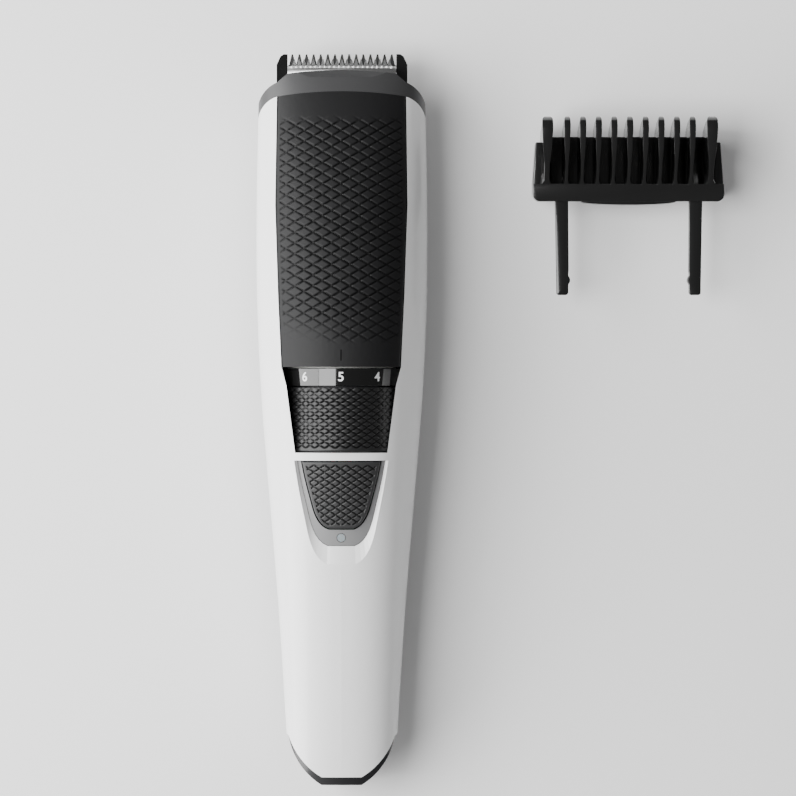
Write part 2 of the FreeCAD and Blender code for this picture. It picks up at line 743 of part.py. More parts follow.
def carrier_parts():
    """Sliding yoke under the cam sleeve with two arms that hold the comb's legs."""
    inner = "cam_radius + carrier_gap"
    outer = inner + " + carrier_wall"
    start = PIN_Y + " - carrier_width / 2"
    hoop = ring("carrier_hoop", outer, inner, start, "carrier_width")
    keep_low = block("hoop_trim", both_sides("2 * cam_radius"),
                     (start + " - 1", start + " + carrier_width + 1"),
                     ("wheel_axis - 2 * cam_radius", "arm_low + 1"))
    items = [common("carrier_half_hoop", [hoop, keep_low])]
    sockets = []
    for side, sign in (("right", ""), ("left", "-")):
        spans = ["%s(arm_in)" % sign, "%s(arm_out)" % sign]
        foot = ["%s(arm_foot_reach)" % sign, "%s(arm_out)" % sign]
        if sign:
            spans.reverse()
            foot.reverse()
        items.append(block("arm_" + side, spans, (start, "arm_top_y"),
                           ("arm_low", "arm_high")))
        items.append(block("arm_foot_" + side, foot, (start, start + " + carrier_width"),
                           ("arm_low", "arm_low + arm_foot_high")))
        low = "%s(leg_offset) - leg_width / 2 - leg_fit" % sign
        sockets.append(block(
            "leg_socket_" + side, (low, low + " + leg_width + 2 * leg_fit"),
            ("arm_top_y - socket_depth", "arm_top_y + 1"),
            ("ear_front + slack", "ear_front + slack + leg_thick + 2 * leg_fit")))
    clearance = rod("sleeve_clearance", "y", ("0", start + " - 1", "wheel_axis"),
                    inner, "carrier_width + 2")
    keep("comb_carrier", cut("comb_carrier", fuse("carrier_solid", items),
                             sockets + [clearance]))
    keep("follower_pin", rod(
        "follower_pin", "z",
        ("0", PIN_Y, "wheel_axis - cam_radius - carrier_gap - carrier_wall / 2"),
        "pin_radius", "carrier_wall / 2 + carrier_gap + cam_groove_depth - fit"))


# Chassis and electrics --------------------------------------------------------------

TRAY_RADIUS = "battery_radius + fit + tray_wall"


def chassis():
    """Battery trough, wheel core and motor bed in one frame."""
    start, stop = "battery_low_y - contact_thick - tray_end", KNURL_LOW + " - wheel_end_gap"
    trough = rod("trough", "y", ("0", start, "battery_axis"), TRAY_RADIUS,
                 "(%s) - (%s)" % (stop, start))
    well_low = "battery_low_y - contact_thick - fit"
    well = rod("trough_well", "y", ("0", well_low, "battery_axis"),
               "battery_radius + fit", "(%s) + 1 - (%s)" % (stop, well_low))
    lid = block("trough_lid", both_sides("2 * battery_radius"), (start + " - 1", stop + " + 1"),
                ("battery_axis + tray_rim", "battery_axis + 2 * battery_radius"))
    core_start = KNURL_LOW + " - core_overlap"
    core_stop = CAM_START + " + cam_length + core_tail"
    core = rod("wheel_core", "y", ("0", core_start, "wheel_axis"), "core_radius",
               "(%s) - (%s)" % (core_stop, core_start))
    core_trim = block("core_trim", both_sides("2 * core_radius"),
                      (core_start + " - 1", KNURL_LOW + " - wheel_end_gap / 2"),
                      ("battery_axis + tray_rim", "wheel_axis + 2 * core_radius"))
    bed_top = "motor_axis - motor_flat - fit"
    bed = block("motor_bed", both_sides("motor_radius"),
                (CAM_START + " + cam_length + bed_gap", "motor_low_y + motor_length"),
                (bed_top + " - bed_thick", bed_top))
    bore = rod("core_hole", "y", ("0", core_start + " - 1", "wheel_axis"), "core_bore",
               "(%s) + 2 - (%s)" % (core_stop, core_start))
    solid = fuse("chassis_solid", [cut("open_trough", trough, [well, lid]), core, bed])
    frame = cut("chassis_frame", solid, [bore, core_trim])
    leaf_low = "battery_axis - battery_radius + lap"
    leaf = (leaf_low, leaf_low + " + detent_leaf_thick")
    keep("detent_spring", fuse("detent_spring", [
        block("detent_leaf", both_sides("detent_leaf_half"),
              (stop + " - detent_leaf_length", stop), leaf),
        block("detent_bump", both_sides("detent_bump_half"),
              (stop + " - lap", KNURL_LOW + " - lap"), leaf)]))
    posts = [block("board_post_" + side, spans,
                   (stop + " - post_back", stop + " - post_back + post_long"),
                   ("battery_axis", "board_high - board_thick"))
             for side, spans in (("left", ("-board_half", "-board_half + post_thick")),
                                 ("right", ("board_half - post_thick", "board_half")))]
    return fuse("chassis", [frame] + posts)


def board_top_y():
    return KNURL_LOW + " - board_setback"


def electrics():
    """Battery, contacts, board, switch, light and charging jack."""
    keep("battery_cell", rod("battery_cell", "y", ("0", "battery_low_y", "battery_axis"),
                             "battery_radius", "battery_length"))
    contact_spots = ("battery_low_y - contact_thick", "battery_low_y + battery_length")
    keep("battery_contacts", group("battery_contacts", [
        rod("contact_%d" % index, "y", ("0", spot, "battery_axis"),
            "battery_radius", "contact_thick")
        for index, spot in enumerate(contact_spots)]))
    top = board_top_y()
    keep("circuit_board", block("circuit_board", both_sides("board_half"),
                                (top + " - board_length", top),
                                ("board_high - board_thick", "board_high")))
    switch = "%.4f" % switch_y()
    body = block("switch_block", both_sides("switch_half"),
                 (switch + " - switch_half", switch + " + switch_half"),
                 ("board_high", "board_high + switch_height"))
    bore_low = "board_high + slack"
    bore = rod("switch_bore", "z", ("0", switch, bore_low), "plunger_radius + fit", "9")
    keep("switch_body", cut("switch_body", body, [bore]))
    keep("switch_plunger", rod("switch_plunger", "z",
                               ("0", switch, bore_low + " + button_travel + lap"),
                               "plunger_radius", "plunger_height"))
    chips = [block("chip_%d" % index, (left, left + " + chip_wide"),
                   (top + " - " + low, top + " - " + low + " + chip_long"),
                   ("board_high", "board_high + chip_high"))
             for index, (left, low) in enumerate((
                 ("-chip_left", "chip_upper"), ("chip_left - chip_wide", "chip_upper"),
                 ("-chip_left", "chip_lower"),
                 ("chip_left - chip_wide", "chip_lower + chip_long")))]
    keep("board_chips", group("board_chips", chips))
    light = bridge_low() - size("recess_edge") - size("bezel_length") + size("light_from_end")
    light = "%.4f" % light
    keep("status_led", block("status_led", both_sides("light_radius"),
                             (light + " - light_radius", light + " + light_radius"),
                             ("board_high", "board_high + led_high")))
    jack_low = "tail_y + cap_depth + fit"
    jack = block("jack_block", both_sides("jack_half"), (jack_low, jack_low + " + jack_length"),
                 ("jack_axis - jack_half", "jack_axis + jack_half"))
    hole = rod("jack_hole", "y", ("0", jack_low + " - 1", "jack_axis"), "jack_bore",
               "jack_depth + 1")
    keep("charge_jack", cut("charge_jack", jack, [hole]))
    leads = [rod("lead_%d" % index, "y", (x, top + " + slack", "board_high - lead_drop"),
                 "lead_radius", "motor_low_y - 2 * slack - (" + top + ")")
             for index, x in enumerate(("-lead_offset", "lead_offset"))]
    keep("motor_leads", group("motor_leads", leads))


def motor_parts():
    """Flat-sided motor with its rotor, crank disc and crank pin."""
    stop = "motor_low_y + motor_length"
    can = rod("can_round", "y", ("0", "motor_low_y", "motor_axis"), "motor_radius",
              "motor_length")
    flats = block("can_flats", both_sides("motor_radius"), ("motor_low_y", stop),
                  ("motor_axis - motor_flat", "motor_axis + motor_flat"))
    hollow = rod("can_hollow", "y", ("0", "motor_low_y - 1", "motor_axis"),
                 "motor_flat - motor_wall", "motor_length + 1 - motor_wall")
    nose = rod("can_nose", "y", ("0", stop + " - can_nose", "motor_axis"),
               "shaft_radius + shaft_fit", "2 * can_nose")
    keep("motor_can", cut("motor_can", common("can_solid", [can, flats]), [hollow, nose]))
    cap = rod("cap_disc", "y", ("0", "motor_low_y + fit", "motor_axis"),
              "motor_flat - motor_wall - fit", "end_cap_length")
    cap_hole = rod("cap_hole", "y", ("0", "motor_low_y - 1", "motor_axis"),
                   "shaft_radius + shaft_fit", "3 * end_cap_length")
    keep("motor_end_cap", cut("motor_end_cap", cap, [cap_hole]))
    shaft = rod("shaft", "y", ("0", "motor_low_y + 1", "motor_axis"), "shaft_radius",
                "motor_length - 1 + crank_gap + crank_length - shaft_setback")
    core = rod("rotor_core", "y", ("0", "motor_low_y + end_cap_length + rotor_gap", "motor_axis"),
               "rotor_radius", "motor_length - end_cap_length - 3 * rotor_gap - motor_wall")
    keep("motor_rotor", fuse("motor_rotor", [shaft, core]))
    disc_low = stop + " + crank_gap"
    disc = rod("crank_disc", "y", ("0", disc_low, "motor_axis"), "crank_radius",
               "crank_length")
    hub = rod("crank_bore", "y", ("0", disc_low + " - 1", "motor_axis"), "shaft_radius",
              "crank_length + 1 - shaft_setback")
    pin = rod("crank_pin", "y", ("0", disc_low + " + crank_length - crank_pin_root",
                                 "motor_axis + crank_throw"),
              "crank_pin_radius", "crank_pin_length")
    keep("crank", fuse("crank", [cut("crank_hub", disc, [hub]), pin]))
    outer = block("bracket_outer", both_sides("motor_radius + bracket_wall"),
                  (stop + " + lap", stop + " + lap + bracket_wall"),
                  ("motor_axis - motor_flat - bracket_wall", "motor_axis + motor_flat"))
    deep = "3 * bracket_wall"
    eye = rod("bracket_eye", "y", ("0", stop, "motor_axis"), "crank_radius", deep)
    bolts = ("bolt_x", "-bolt_x")
    holes = [rod("bracket_hole_%d" % index, "y", (x, stop, "motor_axis"), "bolt_hole", deep)
             for index, x in enumerate(bolts)]
    keep("motor_bracket", cut("motor_bracket", outer, [eye] + holes))
    heads = []
    for index, x in enumerate(bolts):
        shank = rod("shank_%d" % index, "y", (x, stop + " + lap", "motor_axis"),
                    "bolt_radius", "bracket_wall + slack")
        head = rod("screw_cap_%d" % index, "y",
                   (x, stop + " + lap + bracket_wall", "motor_axis"),
                   "bolt_head", "bolt_head_high")
        heads.append(fuse("motor_screw_%d" % index, [shank, head]))
    keep("motor_screws", group("motor_screws", heads))


# Cutting head ----------------------------------------------------------------------

def toothed(name, spans, neck_half, half, bottom, step_y, root, tip, teeth, pitch, low, thick):
    """A blade with pointed teeth along +Y and a narrower neck below step_y."""
    edge = []
    for index in range(teeth):
        centre = "(%d - (%s - 1) / 2) * %s" % (index, spans, pitch)
        edge.append((centre + " - " + pitch + " * tooth_root_part", root))
        edge.append((centre + " - " + pitch + " * tooth_tip_part", tip))
        edge.append((centre + " + " + pitch + " * tooth_tip_part", tip))
        edge.append((centre + " + " + pitch + " * tooth_root_part", root))
    corners = [(both_sides(half)[0], root)] + edge + [
        (half, root), (half, step_y), (neck_half, step_y), (neck_half, bottom),
        ("-(%s)" % neck_half, bottom), ("-(%s)" % neck_half, step_y),
        ("-(%s)" % half, step_y)]
    return plate(name, corners, low, "(%s) + %s" % (low, thick))


def head_parts():
    """Tilting cutting head: frame, blades, cover plate, drive yoke and screws."""
    back, seat = "crown_y + head_gap", "blade_low"
    top = back + " + head_bar"
    bar = block("head_bar_block", both_sides("head_half + bar_side"), (back, top),
                ("mouth_low + head_gap", seat))
    plug = block("head_plug", both_sides("mouth_half - slack"),
                 ("hinge_y - plug_back", back + " + lap"),
                 ("mouth_low + 1", seat))
    arm = block("knuckle_arm", both_sides("knuckle_half"), ("hinge_y", top),
                ("hinge_z - knuckle_radius", seat + " - 1"))
    knuckle = rod("knuckle", "x", ("-knuckle_half", "hinge_y", "hinge_z"),
                  "knuckle_radius", "2 * knuckle_half")
    ears = []
    for side, sign in (("right", ""), ("left", "-")):
        corners = [(sign + "(head_half)", "slant_y + ear_gap"),
                   (sign + "(ear_out)", "ear_low"),
                   (sign + "(ear_out)", "ear_top - ear_chamfer"),
                   (sign + "(ear_out - ear_step)", "ear_top - ear_shoulder"),
                   (sign + "(ear_out - ear_top_in)", "ear_top"),
                   (sign + "(head_half)", "ear_top")]
        ears.append(plate("ear_" + side, corners, "ear_back", "ear_front"))
    pin_bore = rod("pin_bore", "x", ("-2 * knuckle_half", "hinge_y", "hinge_z"),
                   "hinge_pin_radius + hinge_fit", "4 * knuckle_half")
    seats = [rod("screw_seat_%d" % index, "z", (x, "hinge_y", "blade_low - screw_seat"),
                 "screw_radius", "2 * screw_seat")
             for index, x in enumerate(("screw_x", "-screw_x"))]
    keep("head_frame", cut("head_frame", fuse("head_solid", [bar, plug, arm, knuckle] + ears),
                           [pin_bore] + seats))
    keep("hinge_pin", rod("hinge_pin", "x", ("-knuckle_half - pin_seat", "hinge_y", "hinge_z"),
                          "hinge_pin_radius", "2 * (knuckle_half + pin_seat)"))
    fixed = toothed("fixed_comb", "blade_teeth", "mouth_half - slack", "head_half - lap",
                    "hinge_y - blade_back", back, "blade_root_y", "blade_tip_y",
                    int(size("blade_teeth")), "blade_pitch", "blade_low", "blade_thick")
    eyes = [rod("blade_eye_%d" % index, "z", (x, "hinge_y", "blade_low - 1"),
                "screw_eye", "3 * blade_thick")
            for index, x in enumerate(("screw_x", "-screw_x"))]
    keep("fixed_blade", cut("fixed_blade", fixed, eyes))
    cutter_low = "blade_low + blade_thick + cutter_fit"
    keep("moving_blade", toothed(
        "moving_blade", "cutter_teeth", "cutter_neck", "head_half - cutter_travel - cutter_side",
        "hinge_y - cutter_back", back, "cutter_root_y", "cutter_tip_y",
        int(size("cutter_teeth")), "cutter_pitch", cutter_low, "cutter_thick"))
    cover_low = cutter_low + " + cutter_thick + lap"
    keep("blade_cover", plate("blade_cover", mirrored_outline([
        ("head_half - lap / 5", "cover_top_y"), ("head_half - lap / 5", back + " + lap"),
        ("mouth_half - slack", back + " + lap"),
        ("mouth_half - slack", "hinge_y + hood_setback")]),
        cover_low, cover_low + " + cover_thick"))
    hood_low = cover_low + " + cover_thick"
    keep("head_hood", block("head_hood", both_sides("mouth_half - hood_side"),
                            ("hinge_y + hood_setback", "crown_y + slack"),
                            (hood_low, "mouth_high - hood_drop")))
    fork = "crank_pin_radius + 2 * cutter_travel + yoke_fit"
    legs = block("yoke_legs", both_sides(fork + " + yoke_wall"),
                 ("yoke_low_y", "hinge_y - cutter_back"),
                 ("blade_low", "yoke_high"))
    bridge = block("yoke_bridge", both_sides(fork + " + yoke_wall"),
                   ("hinge_y - yoke_bridge_back", "hinge_y + yoke_bridge_front"),
                   (cutter_low + " + cutter_thick", "yoke_high"))
    gap = block("yoke_gap", both_sides(fork), ("yoke_low_y - 1", "hinge_y - yoke_gap_back"),
                ("0", "yoke_high + 1"))
    keep("drive_yoke", cut("drive_yoke", fuse("yoke_solid", [legs, bridge]), [gap]))
    screws = []
    for index, x in enumerate(("screw_x", "-screw_x")):
        shank = rod("blade_shank_%d" % index, "z", (x, "hinge_y", "blade_low - screw_seat"),
                    "screw_radius", "blade_thick + screw_seat + cutter_fit")
        head = rod("blade_head_%d" % index, "z", (x, "hinge_y", "blade_low + blade_thick"),
                   "screw_head", "screw_head_high")
        screws.append(fuse("blade_screw_%d" % index, [shank, head]))
    keep("blade_screws", group("blade_screws", screws))


# Guard comb -------------------------------------------------------------------------

def guard_comb():
    """Loose guard comb with bladed teeth, a curved back, end cheeks and two legs."""
    bar_top = "comb_bar_y + comb_bar_width"
    items = [
        block("comb_bar", ("comb_x - comb_half", "comb_x + comb_half"),
              ("comb_bar_y", bar_top), ("comb_bar_low", "comb_bar_high")),
        block("comb_lip", ("comb_x - comb_lip_half", "comb_x + comb_lip_half"),
              ("comb_bar_y - comb_lip", bar_top),
              ("comb_bar_low", "comb_bar_high - comb_lip_step")),
        block("comb_back",
              ("comb_x - comb_half + comb_back_edge", "comb_x + comb_half - comb_back_edge"),
              ("comb_bar_y", "comb_back_top"), ("0", "comb_back_thick")),
    ]
    count = int(size("tooth_count"))
    for index in range(count):
        last = index in (0, count - 1)
        centre = "comb_x + (%d - (tooth_count - 1) / 2) * tooth_pitch" % index
        thick = "end_tooth_thick" if last else "tooth_thick"
        if last:
            centre += " %s end_tooth_shift" % ("-" if index == 0 else "+")
            half = "end_tooth_thick / 2"
            items.append(block("cheek_%d" % index,
                               (centre + " - " + half, centre + " + " + half),
                               ("comb_bar_y", bar_top), ("0", "comb_bar_high")))
        items.append(comb_tooth("tooth_%d" % index, centre, thick))
    for name, sign in (("right", "+"), ("left", "-")):
        low = "comb_x %s leg_offset - leg_width / 2" % sign
        items.append(block("leg_" + name, (low, low + " + leg_width"),
                           ("comb_bar_y + leg_root - leg_length", "comb_bar_y + 2 * leg_root"),
                           ("leg_low", "leg_low + leg_thick")))
    return keep("guard_comb", fuse("guard_comb", items))


def comb_tooth(name, centre, thick):
    """One upright tooth: a thin plate with a rounded tip that leans over the blades."""
    body = doc.addObject("PartDesign::Body", name)
    low = "comb_bar_y + comb_bar_width - slack"
    corners = [(low, "tooth_floor"), ("comb_back_top - 1", "tooth_floor"),
               ("comb_top_y - tooth_nose_back", "tooth_nose_high"),
               ("comb_top_y - tooth_face_back", "tooth_face_high"),
               ("comb_top_y", "tooth_front_high"),
               ("comb_top_y", "comb_high - tooth_tip_drop"),
               ("comb_top_y - tooth_tip_back", "comb_high"),
               ("comb_top_y - tooth_crown_back", "comb_high - tooth_crown_drop"),
               (low + " + tooth_slope_run", "comb_high * tooth_slope_part"),
               (low, "comb_high * tooth_foot_part")]
    sketch = outline_sketch(body, name + "_side", "YZ_Plane", corners,
                            centre + " - " + thick + " / 2")
    pad(body, sketch, thick)
    return body


# Build -----------------------------------------------------------------------------

def check_and_write():
    """Stop on any failed object or invalid sub-part, then write each one."""
    doc.recompute()
    for item in doc.Objects:
        if "Invalid" in item.State or "Error" in item.State:
            raise RuntimeError("%s failed: %s" % (item.Name, item.State))
    for name, item in PARTS.items():
        if item.Shape.isNull() or not item.Shape.isValid():
            raise RuntimeError(name + " has no valid shape")
    os.makedirs("parts", exist_ok=True)
    for name, item in PARTS.items():
        item.Shape.exportStep(os.path.join("parts", name + ".step"))


fill_sheet()
free_forms()
wheel_parts()
carrier_parts()
keep("chassis", chassis())
electrics()
motor_parts()
head_parts()
guard_comb()
check_and_write()
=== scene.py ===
"""Beard trimmer lying on its back with its guard comb beside it, seen from the front.

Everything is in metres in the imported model's frame: +Z out of the front, +Y to the blades.
"""
import json
import math

import bmesh
import bpy
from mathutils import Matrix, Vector
from mathutils.bvhtree import BVHTree


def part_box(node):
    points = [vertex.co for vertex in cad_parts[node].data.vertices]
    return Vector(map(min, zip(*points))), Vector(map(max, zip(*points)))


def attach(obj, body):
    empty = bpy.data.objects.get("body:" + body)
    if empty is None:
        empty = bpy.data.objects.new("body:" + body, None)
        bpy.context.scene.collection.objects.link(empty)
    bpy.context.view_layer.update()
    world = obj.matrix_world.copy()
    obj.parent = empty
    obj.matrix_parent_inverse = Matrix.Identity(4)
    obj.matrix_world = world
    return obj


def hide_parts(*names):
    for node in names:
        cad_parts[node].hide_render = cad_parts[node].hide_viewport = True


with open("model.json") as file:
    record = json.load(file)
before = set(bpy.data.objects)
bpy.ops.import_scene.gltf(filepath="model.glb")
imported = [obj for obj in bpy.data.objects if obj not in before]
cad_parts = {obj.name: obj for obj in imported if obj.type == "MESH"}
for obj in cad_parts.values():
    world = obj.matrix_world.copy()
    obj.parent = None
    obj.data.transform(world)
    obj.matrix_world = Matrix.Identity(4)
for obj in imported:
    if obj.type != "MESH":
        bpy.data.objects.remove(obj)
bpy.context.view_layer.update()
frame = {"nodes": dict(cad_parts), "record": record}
NODES = frame["nodes"]
MM = 0.001


# Camera and light ---------------------------------------------------------------------

CAMERA_MIDDLE = (13.8 * MM, 4.9 * MM)
CAMERA_HEIGHT = 1.1
VIEW_WIDTH = 196.0 * MM
# Height of the handle's sides, where the view is VIEW_WIDTH wide.
SIDE_LINE = 15.0 * MM
SENSOR_WIDTH = 36.0
WHITE = (1.0, 1.0, 1.0, 1.0)
SURROUND = 0.13
FLOOR_REACH = 3.0
FLOOR_GLOW = 0.12


def add_camera():
    """A long lens straight above the object, looking down."""
    data = bpy.data.cameras.new("camera")
    data.sensor_width = SENSOR_WIDTH
    data.lens = data.sensor_width * (CAMERA_HEIGHT - SIDE_LINE) / VIEW_WIDTH
    data.clip_start = 0.01
    camera = bpy.data.objects.new("camera", data)
    camera.location = (*CAMERA_MIDDLE, CAMERA_HEIGHT)
    bpy.context.scene.collection.objects.link(camera)
    bpy.context.scene.camera = camera


def add_panel(name, place, aim, size, power):
    """A soft rectangular light at a place, aimed at a point."""
    data = bpy.data.lights.new(name, "AREA")
    data.shape = "RECTANGLE"
    data.size, data.size_y = size
    data.energy = power
    light = bpy.data.objects.new(name, data)
    light.location = place
    light.rotation_euler = (Vector(aim) - Vector(place)).to_track_quat("-Z", "Y").to_euler()
    bpy.context.scene.collection.objects.link(light)


def add_lights():
    """A broad panel from the left, a smaller one high on the left, and a faint surround."""
    add_panel("key_left", (-0.69, 0.0, 0.31), (0, 0, 0.02), (1.3, 0.66), 21.0)
    add_panel("high_left", (-0.28, 0.03, 0.585), (0, 0, 0.03), (0.37, 0.36), 4.4)
    world = bpy.data.worlds.new("studio")
    bpy.context.scene.world = world
    world.use_nodes = True
    sky = world.node_tree.nodes["Background"]
    sky.inputs["Color"].default_value = WHITE
    sky.inputs["Strength"].default_value = SURROUND


def add_floor():
    """A pale floor."""
    mesh = bpy.data.meshes.new("floor")
    reach = FLOOR_REACH
    corners = [(-reach, -reach, 0), (reach, -reach, 0), (reach, reach, 0), (-reach, reach, 0)]
    mesh.from_pydata(corners, [], [(0, 1, 2, 3)])
    floor = bpy.data.objects.new("floor", mesh)
    bpy.context.scene.collection.objects.link(floor)
    material = plastic("floor_paper", (0.93, 0.93, 0.93), 0.9, speck=0.004, grain=0.02)
    shader = material.node_tree.nodes["Principled BSDF"]
    shader.inputs["Emission Color"].default_value = WHITE
    shader.inputs["Emission Strength"].default_value = FLOOR_GLOW
    mesh.materials.append(material)


# Materials ----------------------------------------------------------------------------

def new_material(name):
    """A node material with its node tree, shader and object coordinates."""
    material = bpy.data.materials.new(name)
    material.use_nodes = True
    tree = material.node_tree
    shader = tree.nodes["Principled BSDF"]
    coords = tree.nodes.new("ShaderNodeTexCoord")
    return material, tree, shader, coords.outputs["Object"]


def noise(tree, vector, scale, detail=2.0):
    """Cloudy 0..1 value at a place."""
    node = tree.nodes.new("ShaderNodeTexNoise")
    node.inputs["Scale"].default_value = scale
    node.inputs["Detail"].default_value = detail
    tree.links.new(vector, node.inputs["Vector"])
    return node.outputs["Fac"]


def spread(tree, value, low, high):
    """Remaps a 0..1 value to low..high."""
    node = tree.nodes.new("ShaderNodeMapRange")
    node.inputs["To Min"].default_value = low
    node.inputs["To Max"].default_value = high
    tree.links.new(value, node.inputs["Value"])
    return node.outputs["Result"]


def tint(tree, value, colour, change):
    """A colour that varies a little about its mean with a 0..1 value."""
    node = tree.nodes.new("ShaderNodeMix")
    node.data_type = "RGBA"
    node.inputs["A"].default_value = (*[c * (1 - change) for c in colour], 1)
    node.inputs["B"].default_value = (*[min(1.0, c * (1 + change)) for c in colour], 1)
    tree.links.new(value, node.inputs["Factor"])
    return node.outputs["Result"]


def bump(tree, shader, height, strength, distance):
    """Fine relief on a shader from a 0..1 height."""
    node = tree.nodes.new("ShaderNodeBump")
    node.inputs["Strength"].default_value = strength
    node.inputs["Distance"].default_value = distance
    tree.links.new(height, node.inputs["Height"])
    tree.links.new(node.outputs["Normal"], shader.inputs["Normal"])


def darkened(tree, colour):
    """Painted shade in grooves: a colour that turns nearly black where a piece's groove value
    is 1.
    """
    depth = tree.nodes.new("ShaderNodeAttribute")
    depth.attribute_name = "groove"
    node = tree.nodes.new("ShaderNodeMix")
    node.data_type = "RGBA"
    node.inputs["B"].default_value = (0.001, 0.001, 0.001, 1)
    tree.links.new(depth.outputs["Fac"], node.inputs["Factor"])
    tree.links.new(colour, node.inputs["A"])
    return node.outputs["Result"]


def plastic(name, colour, roughness, speck=0.05, grain=0.1, coat=0.0, specular=0.5,
            shade_in_grooves=False):
    """Moulded plastic: fine spark texture, soft colour drift and uneven roughness, and if
    asked, painted shade that turns its grooves nearly black.
    """
    material, tree, shader, place = new_material(name)
    drift = noise(tree, place, 60.0)
    fine = noise(tree, place, 1.0 / (0.12 * MM), 3.0)
    base = tint(tree, drift, colour, speck)
    # Painted shade: the colour goes nearly black in a piece's grooves.
    if shade_in_grooves:
        base = darkened(tree, base)
    tree.links.new(base, shader.inputs["Base Color"])
    tree.links.new(spread(tree, fine, roughness * 0.88, min(1.0, roughness * 1.12)),
                   shader.inputs["Roughness"])
    shader.inputs["Coat Weight"].default_value = coat
    shader.inputs["Coat Roughness"].default_value = 0.06
    shader.inputs["Specular IOR Level"].default_value = specular
    bump(tree, shader, fine, grain, 0.02 * MM)
    return material


STEEL_STRETCH = (1, 30, 1)


def steel(name, colour, roughness):
    """Ground steel with fine lines across the blade."""
    material, tree, shader, place = new_material(name)
    stretch = tree.nodes.new("ShaderNodeMapping")
    stretch.inputs["Scale"].default_value = STEEL_STRETCH
    tree.links.new(place, stretch.inputs["Vector"])
    lines = noise(tree, stretch.outputs["Vector"], 900.0, 4.0)
    tree.links.new(tint(tree, lines, colour, 0.12), shader.inputs["Base Color"])
    tree.links.new(spread(tree, lines, roughness * 0.7, roughness * 1.3),
                   shader.inputs["Roughness"])
    shader.inputs["Metallic"].default_value = 1.0
    bump(tree, shader, lines, 0.15, 0.01 * MM)
    return material


def clear_plastic(name):
    """Frosted light guide."""
    material, tree, shader, place = new_material(name)
    cloud = noise(tree, place, 900.0)
    tree.links.new(tint(tree, cloud, (0.32, 0.32, 0.32), 0.1), shader.inputs["Base Color"])
    tree.links.new(spread(tree, cloud, 0.3, 0.5), shader.inputs["Roughness"])
    shader.inputs["Subsurface Weight"].default_value = 0.3
    return material


def make_materials():
    """One material for each of the record's slots."""
    return {
        "white_shell": plastic("white_shell", (0.87, 0.87, 0.87), 0.3, speck=0.01, grain=0.02,
                               coat=0.3),
        "black_shell": plastic("black_shell", (0.012, 0.012, 0.013), 0.3, speck=0.2,
                               grain=0.05, coat=0.3),
        # Painted shade: nearly black in the grooves between the grip's tiles.
        "dark_satin": plastic("dark_satin", (0.009, 0.009, 0.0095), 0.5, speck=0.1,
                              grain=0.2, specular=0.2, shade_in_grooves=True),
        "collar_grey": plastic("collar_grey", (0.042, 0.042, 0.043), 0.42, speck=0.08,
                               grain=0.2, specular=0.4),
        "bezel_grey": plastic("bezel_grey", (0.2, 0.2, 0.202), 0.38, grain=0.15),
        "clear_light": clear_plastic("clear_light"),
        # Painted shade: nearly black in the grooves of the wheel's knurl.
        "knurl_black": plastic("knurl_black", (0.016, 0.016, 0.0165), 0.4, speck=0.1,
                               grain=0.2, specular=0.35, shade_in_grooves=True),
        "ring_black": plastic("ring_black", (0.006, 0.006, 0.006), 0.09, speck=0.2,
                              grain=0.01, coat=0.5),
        "blade_steel": steel("blade_steel", (0.62, 0.62, 0.62), 0.3),
        "comb_black": plastic("comb_black", (0.009, 0.009, 0.009), 0.16, speck=0.2,
                              grain=0.03, coat=0.4),
        "inner_plastic": plastic("inner_plastic", (0.05, 0.05, 0.055), 0.5),
        "cell_metal": plastic("cell_metal", (0.02, 0.12, 0.07), 0.3, speck=0.1, grain=0.05,
                              coat=0.3),
        "contact_metal": steel("contact_metal", (0.75, 0.6, 0.3), 0.25),
        "board_green": plastic("board_green", (0.01, 0.09, 0.03), 0.35, speck=0.1, coat=0.2),
        "motor_steel": steel("motor_steel", (0.5, 0.5, 0.5), 0.35),
        "lead_red": plastic("lead_red", (0.4, 0.02, 0.02), 0.4),
        "cam_white": plastic("cam_white", (0.6, 0.6, 0.57), 0.4),
    }


def dress_nodes(materials):
    """Gives each CAD node its slot's material, or for the two blades a darker steel with
    painted shade, and smooth shading on curved faces.
    """
    # Painted shade: the blades get darker copies of steel, nearly black for the fixed blade's
    # teeth and grey for the moving blade's.
    shaded_blade_steels = {
        "fixed_blade": steel("shaded_tooth_steel", (0.1, 0.1, 0.1), 0.22),
        "moving_blade": steel("shaded_cutter_steel", (0.3, 0.3, 0.3), 0.24),
    }
    for entry in frame["record"]["subparts"]:
        node = NODES[entry["node"]]
        node.data.materials.clear()
        node.data.materials.append(
            shaded_blade_steels.get(entry["node"], materials[entry["material_slot"]]))
        shade(node)


def shade(item, angle=28.0):
    """Smooth shading with sharp edges kept where faces meet at a steep angle."""
    mesh = item.data
    mesh.shade_smooth()
    mesh.set_sharp_from_angle(angle=math.radians(angle))


# Mesh helpers -------------------------------------------------------------------------

def new_piece(name, verts, faces, material, body, node_slot, *replaced):
    """A mesh piece riding on a body, with its finish and the CAD nodes it stands for."""
    mesh = bpy.data.meshes.new(name)
    mesh.from_pydata([tuple(v) for v in verts], [], faces)
    mesh.validate()
    mesh.materials.append(material)
    piece = bpy.data.objects.new(name, mesh)
    bpy.context.scene.collection.objects.link(piece)
    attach(piece, body)
    if replaced:
        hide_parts(*replaced)
    return piece


def tree_of(node):
    """A ray tree over one CAD node's mesh."""
    return BVHTree.FromPolygons(
        [v.co.copy() for v in NODES[node].data.vertices],
        [tuple(p.vertices) for p in NODES[node].data.polygons])


EDGE_STEPS = 400


